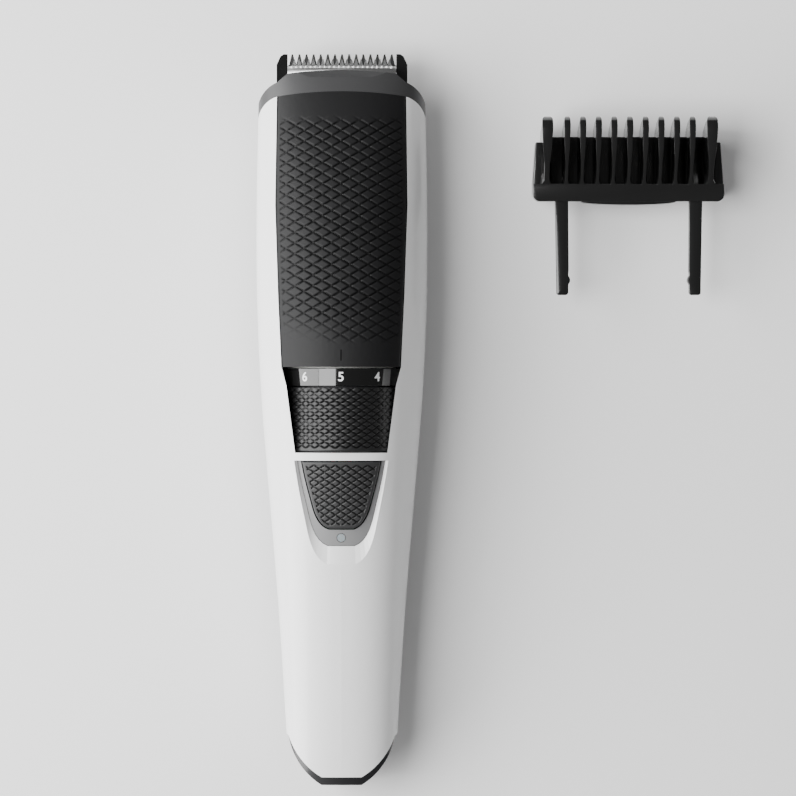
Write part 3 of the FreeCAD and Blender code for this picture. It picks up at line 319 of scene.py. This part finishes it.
def span_across(tree, y, z_top, reach):
    """The left and right edges of a node at one place along it, seen from the front."""
    hits = []
    for index in range(EDGE_STEPS + 1):
        x = -reach + 2 * reach * index / EDGE_STEPS
        if tree.ray_cast(Vector((x, y, z_top)), Vector((0, 0, -1)))[0] is not None:
            hits.append(x)
    return (hits[0], hits[-1]) if hits else None


def diamond(u, v, wide, high, groove):
    """Depth of a diamond lattice's grooves at a point, from 0 on a tile to 1 in a groove."""
    depth = 0.0
    for sign in (1, -1):
        phase = u / wide + sign * v / high
        off = abs(phase - round(phase)) * wide * high / math.hypot(wide, high)
        depth = max(depth, 1.0 - off / (groove / 2))
    return min(1.0, max(0.0, depth) * 1.6)


def ease(value, low, high):
    """A smooth step from 0 at low to 1 at high."""
    part = min(1.0, max(0.0, (value - low) / (high - low)))
    return part * part * (3 - 2 * part)


# Textured panels ----------------------------------------------------------------------

def groove_values(piece, values):
    """Stores how deep in a groove each of the first vertices lies; materials that shade their
    grooves paint the shade from this value.
    """
    layer = piece.data.attributes.new("groove", "FLOAT", "POINT")
    spare = len(piece.data.vertices) - len(values)
    layer.data.foreach_set("value", values + [0.0] * spare)


def thick_sheet(name, rows, thickness, material, body, node_slot, *replaced):
    """A closed piece from a grid of points, with the same grid below it."""
    count, wide = len(rows), len(rows[0])
    top = [point for row in rows for point in row]
    verts = top + [point - Vector((0, 0, thickness)) for point in top]
    under = len(top)
    faces = []
    for j in range(count - 1):
        for i in range(wide - 1):
            a = j * wide + i
            quad = (a, a + 1, a + wide + 1, a + wide)
            faces.append(quad)
            faces.append(tuple(v + under for v in reversed(quad)))
    rim = list(range(wide))
    rim += [j * wide + wide - 1 for j in range(1, count)]
    rim += [(count - 1) * wide + i for i in range(wide - 2, -1, -1)]
    rim += [j * wide for j in range(count - 2, 0, -1)]
    for near, far in zip(rim, rim[1:] + rim[:1]):
        faces.append((far, near, near + under, far + under))
    piece = new_piece(name, verts, faces, material, body, node_slot, *replaced)
    shade(piece, 50.0)
    return piece


def edge_rows(tree, low_y, high_y, count, reach, z_top):
    """Left and right edges of a node at evenly spaced places along it."""
    rows = []
    for index in range(count + 1):
        y = low_y + (high_y - low_y) * index / count
        span = span_across(tree, y, z_top, reach)
        if span:
            rows.append((y, span))
    return rows


def half_at(rows, y):
    """Half width at one place, read between the measured edges."""
    for (near, span), (far, after) in zip(rows, rows[1:]):
        if y <= far:
            part = max(0.0, (y - near) / (far - near))
            return (span[1] - span[0]) / 2 * (1 - part) + (after[1] - after[0]) / 2 * part
    span = rows[-1][1]
    return (span[1] - span[0]) / 2


def drop_to(tree, x, y, z_top, last):
    """Height of a surface under one place, or the last height found."""
    hit = tree.ray_cast(Vector((x, y, z_top)), Vector((0, 0, -1)))[0]
    return hit.z if hit is not None else last


GRIP_TILE = (4.43 * MM, 2.62 * MM)
GRIP_GROOVE = 0.46 * MM
GRIP_DEPTH = 0.26 * MM
GRIP_MARGIN = 1.1 * MM
GRIP_ACROSS, GRIP_ALONG = 168, 300
GRIP_INSET = 0.04 * MM
GRIP_THICK = 1.1 * MM
GRIP_BOW = 1.1 * MM
GRIP_EDGE, GRIP_EDGE_DROP = 0.35 * MM, 0.12 * MM
# Where the tiles begin, and where they are full, measured from the grip's lower end.
TILES_START, TILES_FULL, TILES_FULL_RIGHT = 5.4 * MM, 14.0 * MM, 7.4 * MM
RIGHT_FROM, RIGHT_TO, RIGHT_PART = -0.7, 0.2, 0.8
# Where they fade and are gone, measured from its upper end.
TILES_FADE, TILES_GONE = 8.0 * MM, 5.8 * MM
MARK_START, MARK_LENGTH = 1.5 * MM, 2.7 * MM
MARK_HALF, MARK_THICK, MARK_STEPS = 0.17 * MM, 0.3 * MM, 6


def grip_fade(y, u, low_y, high_y):
    """How much of the tiles shows at a place: at the lower end they start on the right."""
    start = low_y + TILES_START
    near = ease(y, start, low_y + TILES_FULL_RIGHT) * ease(u, RIGHT_FROM, RIGHT_TO)
    fade = max(ease(y, start, low_y + TILES_FULL), RIGHT_PART * near)
    return fade * (1 - ease(y, high_y - TILES_FADE, high_y - TILES_GONE))


def grip_panel(materials):
    """Front grip with diamond tiles that fade out towards both ends."""
    low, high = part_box("front_grip")
    tree = tree_of("front_grip")
    z_top = high.z + MM
    side_top = high.y - GRIP_BOW
    edges = edge_rows(tree, low.y + GRIP_INSET / 2, side_top, 24, high.x + MM, z_top)
    rows, depths = [], []
    for j in range(GRIP_ALONG + 1):
        row = []
        last = high.z
        for i in range(GRIP_ACROSS + 1):
            u = -1 + 2 * i / GRIP_ACROSS
            top_y = high.y - GRIP_INSET - GRIP_BOW * u * u
            y = low.y + GRIP_INSET + (top_y - low.y - GRIP_INSET) * j / GRIP_ALONG
            half = half_at(edges, min(y, side_top))
            x = u * (half - GRIP_INSET)
            last = drop_to(tree, x * 0.995, min(y, top_y - 0.05 * MM), z_top, last)
            rim = half - abs(x)
            fade = grip_fade(y, u, low.y, high.y) * ease(rim, GRIP_MARGIN * 0.6, GRIP_MARGIN)
            groove = fade * diamond(x, y - low.y, *GRIP_TILE, GRIP_GROOVE)
            edge = 1 - ease(rim, 0.0, GRIP_EDGE)
            z = last - GRIP_INSET - groove * GRIP_DEPTH - edge * GRIP_EDGE_DROP
            row.append(Vector((x, y, z)))
            depths.append(groove)
        rows.append(row)
    panel = thick_sheet("front_grip_panel", rows, GRIP_THICK, materials["dark_satin"],
                        "housing", "dark_satin", "front_grip")
    groove_values(panel, depths)
    index_mark(tree, low.y + MARK_START, z_top, materials)


def index_mark(tree, start, z_top, materials):
    """The thin black line that points at the number in use."""
    rows = []
    for j in range(MARK_STEPS + 1):
        y = start + MARK_LENGTH * j / MARK_STEPS
        rows.append([Vector((x, y, drop_to(tree, x, y, z_top, 0)))
                     for x in (-MARK_HALF, 0.0, MARK_HALF)])
    thick_sheet("index_mark", rows, MARK_THICK, materials["ring_black"], "housing",
                "ring_black")


BUTTON_TILE = (2.6 * MM, 1.73 * MM)
BUTTON_GROOVE = 0.42 * MM
BUTTON_DEPTH = 0.26 * MM
BUTTON_ACROSS, BUTTON_ALONG = 130, 124
BUTTON_INSET = 0.02 * MM
BUTTON_THICK = 2.4 * MM
BUTTON_RIM, BUTTON_RIM_DROP = 0.3 * MM, 0.2 * MM
BUTTON_PLAIN, BUTTON_FULL = 0.75 * MM, 1.0 * MM


def button_cap():
    """Power button with a plain rim round small diamond tiles."""
    low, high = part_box("power_button")
    tree = tree_of("power_button")
    z_top = high.z + MM
    edges = edge_rows(tree, low.y + BUTTON_INSET / 2, high.y - BUTTON_INSET / 2, 60,
                      high.x + MM, z_top)
    rows, depths = [], []
    # Painted shade: nearly black in the grooves between the button's tiles.
    satin = plastic("button_satin", (0.03, 0.03, 0.0305), 0.4, speck=0.1, grain=0.2,
                    specular=0.4, shade_in_grooves=True)
    for j in range(BUTTON_ALONG + 1):
        y = low.y + BUTTON_INSET + (high.y - low.y - 2 * BUTTON_INSET) * j / BUTTON_ALONG
        half = half_at(edges, y)
        row = []
        last = high.z
        for i in range(BUTTON_ACROSS + 1):
            x = (-1 + 2 * i / BUTTON_ACROSS) * half * 0.997
            last = drop_to(tree, x * 0.99, y, z_top, last)
            inside = min(half - abs(x), (y - low.y) * 0.9, high.y - y)
            fade = ease(inside, BUTTON_PLAIN, BUTTON_FULL)
            groove = fade * diamond(x, y - high.y, *BUTTON_TILE, BUTTON_GROOVE)
            rim = 1 - ease(inside, 0.0, BUTTON_RIM)
            z = last - BUTTON_DEPTH * groove - BUTTON_RIM_DROP * rim
            row.append(Vector((x, y, z)))
            depths.append(groove)
        rows.append(row)
    cap = thick_sheet("button_cap", rows, BUTTON_THICK, satin, "button", "dark_satin",
                      "power_button")
    groove_values(cap, depths)


# Wheel ----------------------------------------------------------------------------------

SETTINGS = 10
SHOWN_SETTING = 5
KNURL_CELLS = 36
KNURL_HIGH = 1.66 * MM
KNURL_GROOVE = 0.44 * MM
KNURL_DEPTH = 0.28 * MM
KNURL_FADE = 0.25 * MM
CELL_STEPS, WHEEL_ROWS = 11, 108
LOWER_LIP, UPPER_LIP = 0.7 * MM, 0.15 * MM
WHEEL_RIM, WHEEL_RIM_DROP = 0.3 * MM, 0.2 * MM
BORE_PART = 0.8
RING_STEPS = 180
RING_LIP = 0.12 * MM
NUMBER_SIZE = 3.1 * MM
NUMBER_RISE, NUMBER_BOLD = 0.04 * MM, 0.05 * MM


def around(radius, angle, y, middle):
    """A point on the wheel, with the angle taken from the top towards +X."""
    return Vector((radius * math.sin(angle), y, middle + radius * math.cos(angle)))


def knurled_wheel(materials):
    """Barrel with a diamond-knurled band and plain lips."""
    low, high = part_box("zoom_wheel")
    radius, middle = (high.z - low.z) / 2, (high.z + low.z) / 2
    steps = KNURL_CELLS * CELL_STEPS
    wide = 2 * math.pi * radius / KNURL_CELLS
    verts, depths = [], []
    for j in range(-1, WHEEL_ROWS + 2):
        y = low.y + (high.y - low.y) * min(max(j, 0), WHEEL_ROWS) / WHEEL_ROWS
        plain = min(y - low.y - LOWER_LIP, high.y - y - UPPER_LIP)
        rim = 1 - ease(min(y - low.y, high.y - y), 0.0, WHEEL_RIM)
        for i in range(steps):
            angle = 2 * math.pi * i / steps
            groove = diamond(angle * radius, y - low.y, wide, KNURL_HIGH, KNURL_GROOVE)
            groove *= ease(plain, 0.0, KNURL_FADE)
            deep = radius - KNURL_DEPTH * groove - WHEEL_RIM_DROP * rim
            if j in (-1, WHEEL_ROWS + 1):
                deep = radius * BORE_PART
            verts.append(around(deep, angle, y, middle))
            depths.append(groove)
    piece = new_piece("knurled_wheel", verts, ring_faces(WHEEL_ROWS + 3, steps),
                      materials["knurl_black"], "wheel", "knurl_black", "zoom_wheel")
    groove_values(piece, depths)
    shade(piece, 60.0)


def number_band(materials):
    """Glossy number ring with fine enough sides to mirror the lights cleanly."""
    low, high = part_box("number_ring")
    radius, middle = (high.z - low.z) / 2, (high.z + low.z) / 2
    bore = radius * BORE_PART
    profile = [(radius - RING_LIP, low.y), (radius, low.y + RING_LIP),
               (radius, high.y - RING_LIP), (radius - RING_LIP, high.y),
               (bore, high.y), (bore, low.y)]
    verts = [around(deep, 2 * math.pi * i / RING_STEPS, y, middle)
             for deep, y in profile for i in range(RING_STEPS)]
    piece = new_piece("number_band", verts, ring_faces(len(profile), RING_STEPS),
                      materials["ring_black"], "wheel", "ring_black", "number_ring")
    shade(piece, 30.0)


def ring_faces(rows, steps):
    """Quads joining closed rings of points into a closed tube."""
    faces = []
    for j in range(rows):
        far = (j + 1) % rows
        for i in range(steps):
            after = (i + 1) % steps
            faces.append((j * steps + i, far * steps + i, far * steps + after,
                          j * steps + after))
    return faces


def ring_numbers():
    """Raised white numbers round the number ring, one for each length setting."""
    low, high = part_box("number_ring")
    radius, middle = (high.z - low.z) / 2, (high.z + low.z) / 2
    white = plastic("number_white", (0.86, 0.86, 0.86), 0.4, 0.01, 0.02)
    centre_y = (low.y + high.y) / 2
    for setting in range(1, SETTINGS + 1):
        curve = bpy.data.curves.new("text", "FONT")
        curve.body = str(setting)
        curve.size = NUMBER_SIZE
        curve.align_x = "CENTER"
        curve.align_y = "CENTER"
        curve.extrude = NUMBER_RISE
        curve.offset = NUMBER_BOLD
        text = bpy.data.objects.new("text", curve)
        flat = bpy.data.meshes.new_from_object(text)
        turn = -2 * math.pi / SETTINGS * (setting - SHOWN_SETTING)
        verts = [around(radius + v.co.z, turn + v.co.x / radius, centre_y + v.co.y, middle)
                 for v in flat.vertices]
        faces = [tuple(p.vertices) for p in flat.polygons]
        new_piece("number_%d" % setting, verts, faces, white, "wheel", "cam_white")
        bpy.data.objects.remove(text)
        bpy.data.curves.remove(curve)
        bpy.data.meshes.remove(flat)


# Cutting head ---------------------------------------------------------------------------

BAND_HALF = 13.25 * MM
BAND_SLOPE = 0.24
BAND_ROWS, BAND_STEPS = 6, 48
BAND_GAP, BAND_HIGH = 0.12 * MM, 0.65 * MM
BAND_BOW, BAND_DROP = 0.8 * MM, 0.25 * MM
BAND_CLEAR = 1.7 * MM
# The thin black strip in the gap above the band is painted shade: its height, rise above the
# cover and thickness, and its steps.
GAP_SHADE_HIGH, GAP_SHADE_RISE, GAP_SHADE_THICK = 0.24 * MM, 0.35 * MM, 0.5 * MM
GAP_SHADE_STEPS = 12
STRIP_PITCH = 1.17 * MM
STRIP_ROOT, STRIP_TIP = 0.34, 0.6
STRIP_REACH, STRIP_SINK = 0.1 * MM, 0.1 * MM
STRIP_RISE, STRIP_ROUND = 0.22 * MM, 0.06 * MM


def head_band(materials):
    """Bowed steel band between the collar and the teeth, with a thin black strip above it as
    painted shade in the gap.
    """
    cover_low, cover_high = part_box("blade_cover")
    collar_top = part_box("top_collar")[1].y
    band_edge = collar_top + BAND_HIGH
    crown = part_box("head_hood")[1].z
    rows = []
    for j in range(BAND_ROWS + 1):
        part = j / BAND_ROWS
        row = []
        for i in range(BAND_STEPS + 1):
            u = -1 + 2 * i / BAND_STEPS
            start = collar_top + BAND_GAP - BAND_BOW * u * u
            y = start + (band_edge - start) * part
            z = crown - BAND_HALF * BAND_SLOPE / 2 * u * u - BAND_DROP * part ** 2
            row.append(Vector((u * BAND_HALF, y, z)))
        rows.append(row)
    thick_sheet("head_band", rows, crown - cover_high.z - BAND_CLEAR,
                materials["blade_steel"], "head", "blade_steel", "head_hood")
    # Painted shadow: a thin black strip where the gap between the band and the teeth strip lies
    # in shade.
    line = []
    for y in (band_edge, band_edge + GAP_SHADE_HIGH):
        line.append([Vector((-BAND_HALF + 2 * BAND_HALF * i / GAP_SHADE_STEPS, y,
                             cover_high.z + GAP_SHADE_RISE)) for i in range(GAP_SHADE_STEPS + 1)])
    thick_sheet("head_gap_shade", line, GAP_SHADE_THICK, materials["ring_black"], "head", "ring_black")
    teeth_strip(band_edge + GAP_SHADE_HIGH, cover_low, cover_high)


def teeth_strip(start, cover_low, cover_high):
    """Low row of small steel teeth along the edge of the cover plate."""
    shapes = []
    count = int((cover_high.x - cover_low.x) / STRIP_PITCH)
    wide = STRIP_PITCH * STRIP_ROOT
    tip = wide * STRIP_TIP
    tip_y = cover_high.y + STRIP_REACH
    for index in range(count):
        centre = (index - (count - 1) / 2) * STRIP_PITCH
        outline = [(centre - wide, start), (centre + wide, start),
                   (centre + tip, tip_y), (centre - tip, tip_y)]
        shapes.append(extruded(outline, cover_high.z - STRIP_SINK,
                               cover_high.z + STRIP_RISE, STRIP_ROUND))
    bright = steel("strip_steel", (0.9, 0.9, 0.9), 0.45)
    merged("teeth_strip", shapes, bright, "head", "blade_steel")


# Guard comb -----------------------------------------------------------------------------

BEVEL_STEPS = 3
BEVEL_ANGLE = math.radians(25)


def rounded(shape, radius):
    """Rounds every edge of a bmesh that turns by more than BEVEL_ANGLE."""
    sharp = [e for e in shape.edges
             if len(e.link_faces) == 2 and e.calc_face_angle(0) > BEVEL_ANGLE]
    bmesh.ops.bevel(shape, geom=sharp, offset=radius, segments=BEVEL_STEPS, affect="EDGES",
                    profile=0.5, clamp_overlap=True)


def extruded(outline, low, high, radius):
    """A rounded slab: a plan outline pulled up between two heights."""
    shape = bmesh.new()
    rings = [[shape.verts.new((x, y, level)) for x, y in outline] for level in (low, high)]
    closed_slab(shape, rings)
    rounded(shape, radius)
    return shape


def closed_slab(shape, rings):
    """Closes two matching rings of vertices into a solid slab."""
    low, high = rings
    count = len(low)
    sides = [(low[i], low[(i + 1) % count], high[(i + 1) % count], high[i])
             for i in range(count)]
    for corners in [low, high] + sides:
        shape.faces.new(corners)
    ends = [face for face in shape.faces if len(face.verts) > 4]
    bmesh.ops.recalc_face_normals(shape, faces=shape.faces)
    bmesh.ops.triangulate(shape, faces=ends)


def arc_points(centre, radius, start, stop, count):
    """Points on an arc, angles in degrees."""
    spots = []
    for index in range(count + 1):
        angle = math.radians(start + (stop - start) * index / count)
        spots.append((centre[0] + radius * math.cos(angle),
                      centre[1] + radius * math.sin(angle)))
    return spots


def merged(name, shapes, material, body, node_slot, *replaced):
    """Several closed shapes as one piece."""
    verts, faces = [], []
    for shape in shapes:
        shape.verts.index_update()
        start = len(verts)
        verts.extend(v.co.copy() for v in shape.verts)
        faces.extend(tuple(start + v.index for v in f.verts) for f in shape.faces)
        shape.free()
    piece = new_piece(name, verts, faces, material, body, node_slot, *replaced)
    shade(piece, 40.0)
    return piece


TEETH = 11
TOOTH_PITCH, TOOTH_THICK = 3.84 * MM, 1.55 * MM
END_TOOTH_THICK, END_TOOTH_SHIFT = 2.7 * MM, 1.0 * MM
TIP_RADIUS = 3.4 * MM
TOOTH_ROUND = 0.2
# From the tips of the teeth down to the bar's lower edge, and the bar's own height.
COMB_DEEP, BAR_DEEP = 20.7 * MM, 3.8 * MM
BAR_CORNER, BAR_ROUND = 1.7 * MM, 0.45 * MM
# How far up the comb's thickness the bar and its lip start and stop.
BAR_FROM, BAR_TO, LIP_TO = 0.38, 0.645, 0.615
LIP_BULGE, LIP_HALF, LIP_STEPS, LIP_ROUND = 0.83 * MM, 11.8 * MM, 16, 0.15 * MM
WALL_SIDE, WALL_START, WALL_TOP = 3.2 * MM, 0.9 * MM, 4.1 * MM
WALL_THICK, WALL_ROUND = 1.7 * MM, 0.3 * MM
CHEEK_THICK, CHEEK_LEAN, CHEEK_TOP = 2.6 * MM, 0.7 * MM, 5.9 * MM
CHEEK_ROUND = 0.35 * MM
LEG_FLOOR, LEG_TOP, LEG_ROUND = 10.5 * MM, 12.8 * MM, 0.3 * MM
# Half spans of the two legs: outer and inner faces, at the bar and at the feet.
LEG_OUTER, LEG_INNER = 18.2 * MM, 14.9 * MM
FOOT_OUTER, FOOT_INNER = 17.8 * MM, 14.75 * MM
LATCH_HIGH, LATCH_DEEP = 4.0 * MM, 0.35 * MM


def comb_piece(materials):
    """Guard comb: bar with a bulged lip, cheeks, back wall, bladed teeth and two legs."""
    low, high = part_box("guard_comb")
    middle, half = (low.x + high.x) / 2, (high.x - low.x) / 2
    top, tall = high.y, high.z
    bar = top - COMB_DEEP
    bar_top = bar + BAR_DEEP
    shapes = [comb_bar(middle, half, bar, bar_top, tall), comb_lip(middle, bar, tall),
              comb_wall(middle, half - WALL_SIDE, bar, top)]
    for index in range(TEETH):
        centre = middle + (index - (TEETH - 1) / 2) * TOOTH_PITCH
        thick = TOOTH_THICK
        side = math.copysign(1, index - 1)
        is_end = index in (0, TEETH - 1)
        if is_end:
            centre += side * END_TOOTH_SHIFT
            thick = END_TOOTH_THICK
        shapes.append(comb_tooth(centre, thick, bar_top, top, tall))
        if is_end:
            shapes.append(comb_cheek(middle, half, side, bar, top, tall))
    for side in (1, -1):
        shapes.append(comb_leg(middle, side, low.y, bar))
    merged("comb_moulding", shapes, materials["comb_black"], "comb", "comb_black",
           "guard_comb")


def comb_lip(middle, bar, tall):
    """The lip under the bar, bulged downwards in the middle."""
    outline = [(middle + LIP_HALF * math.cos(math.pi * k / LIP_STEPS),
                bar - LIP_BULGE * math.sin(math.pi * k / LIP_STEPS))
               for k in range(LIP_STEPS + 1)]
    outline += [(middle - LIP_HALF, bar + MM), (middle + LIP_HALF, bar + MM)]
    return extruded(outline, tall * BAR_FROM, tall * LIP_TO, LIP_ROUND)


def comb_wall(middle, half, bar, top):
    """The thin wall under the teeth."""
    near, far = bar + WALL_START, top - WALL_TOP
    outline = [(middle - half, near), (middle + half, near),
               (middle + half, far), (middle - half, far)]
    return extruded(outline, 0.0, WALL_THICK, WALL_ROUND)


def comb_bar(middle, half, bar, bar_top, tall):
    """The bar across the front, with round lower corners."""
    inner = half - BAR_CORNER
    outline = arc_points((middle + inner, bar + BAR_CORNER), BAR_CORNER, 0, -90, 6)
    outline += arc_points((middle - inner, bar + BAR_CORNER), BAR_CORNER, -90, -180, 6)
    outline += [(middle - half + 0.1 * MM, bar_top + 0.5 * MM),
                (middle + half - 0.1 * MM, bar_top + 0.5 * MM)]
    return extruded(outline, tall * BAR_FROM, tall * BAR_TO, BAR_ROUND)


def comb_cheek(middle, half, side, bar, top, tall):
    """One end cheek, narrower towards its top."""
    x_out, x_in = half * side, (half - CHEEK_THICK) * side
    far = top - CHEEK_TOP
    outline = [(middle + x_out, bar + 1.5 * MM), (middle + x_out, bar + 5.0 * MM),
               (middle + x_out - side * CHEEK_LEAN, far),
               (middle + x_in, far), (middle + x_in, bar + 1.5 * MM)]
    return extruded(outline, 0.4 * MM, tall * 0.5, CHEEK_ROUND)


def comb_tooth(centre, thick, bar_top, top, tall):
    """One tooth: a hooked blade with a round tip, a thin front ridge and a flared foot.

    Each point of its side outline is (along, up, share of the tooth's thickness there).
    """
    outline = [(bar_top - 0.4 * MM, 0.2 * MM, 1.0), (top - 7.0 * MM, 0.2 * MM, 1.0),
               (top - 3.0 * MM, 3.0 * MM, 0.95), (top - 0.9 * MM, 8.0 * MM, 0.7)]
    tip = arc_points((top - TIP_RADIUS, tall - TIP_RADIUS), TIP_RADIUS, 0, 90, 9)
    for step, (y, z) in enumerate(tip):
        outline.append((y, z, 0.4 + 0.6 * math.sin(math.pi / 2 * min(1.0, step / 5))))
    outline += [(bar_top + 9.0 * MM, tall * 0.94, 0.8), (bar_top + 5.0 * MM, tall * 0.82, 0.45),
                (bar_top + 1.3 * MM, tall * 0.69, 0.45), (bar_top + 0.5 * MM, tall * 0.65, 0.9),
                (bar_top - 0.4 * MM, tall * 0.62, 1.6)]
    shape = bmesh.new()
    sides = []
    for sign in (-1, 1):
        sides.append([shape.verts.new((centre + sign * thick / 2 * wide, y, z))
                      for y, z, wide in outline])
    closed_slab(shape, sides)
    rounded(shape, thick * TOOTH_ROUND)
    return shape


def comb_leg(middle, side, low_y, bar):
    """One leg: slightly tapered, with a latch bump on its inner edge."""
    bump = low_y + LATCH_HIGH
    inner = FOOT_INNER + 0.1 * MM
    latch = FOOT_INNER - LATCH_DEEP
    outline = [(LEG_OUTER, bar + MM), (FOOT_OUTER, low_y + 0.3 * MM),
               (FOOT_OUTER - 0.4 * MM, low_y), (FOOT_INNER + 0.5 * MM, low_y),
               (inner, low_y + 0.5 * MM), (inner, bump - 1.4 * MM),
               (latch, bump - 0.7 * MM), (latch, bump),
               (FOOT_INNER + 0.15 * MM, bump + 0.9 * MM), (FOOT_INNER, bump + 2.0 * MM),
               (LEG_INNER, bar + MM)]
    outline = [(middle + side * x, y) for x, y in outline]
    return extruded(outline, LEG_FLOOR, LEG_TOP, LEG_ROUND)


# Build ------------------------------------------------------------------------------------

materials = make_materials()
add_camera()
add_lights()
add_floor()
dress_nodes(materials)
grip_panel(materials)
button_cap()
knurled_wheel(materials)
number_band(materials)
ring_numbers()
head_band(materials)
comb_piece(materials)

bpy.context.view_layer.update()
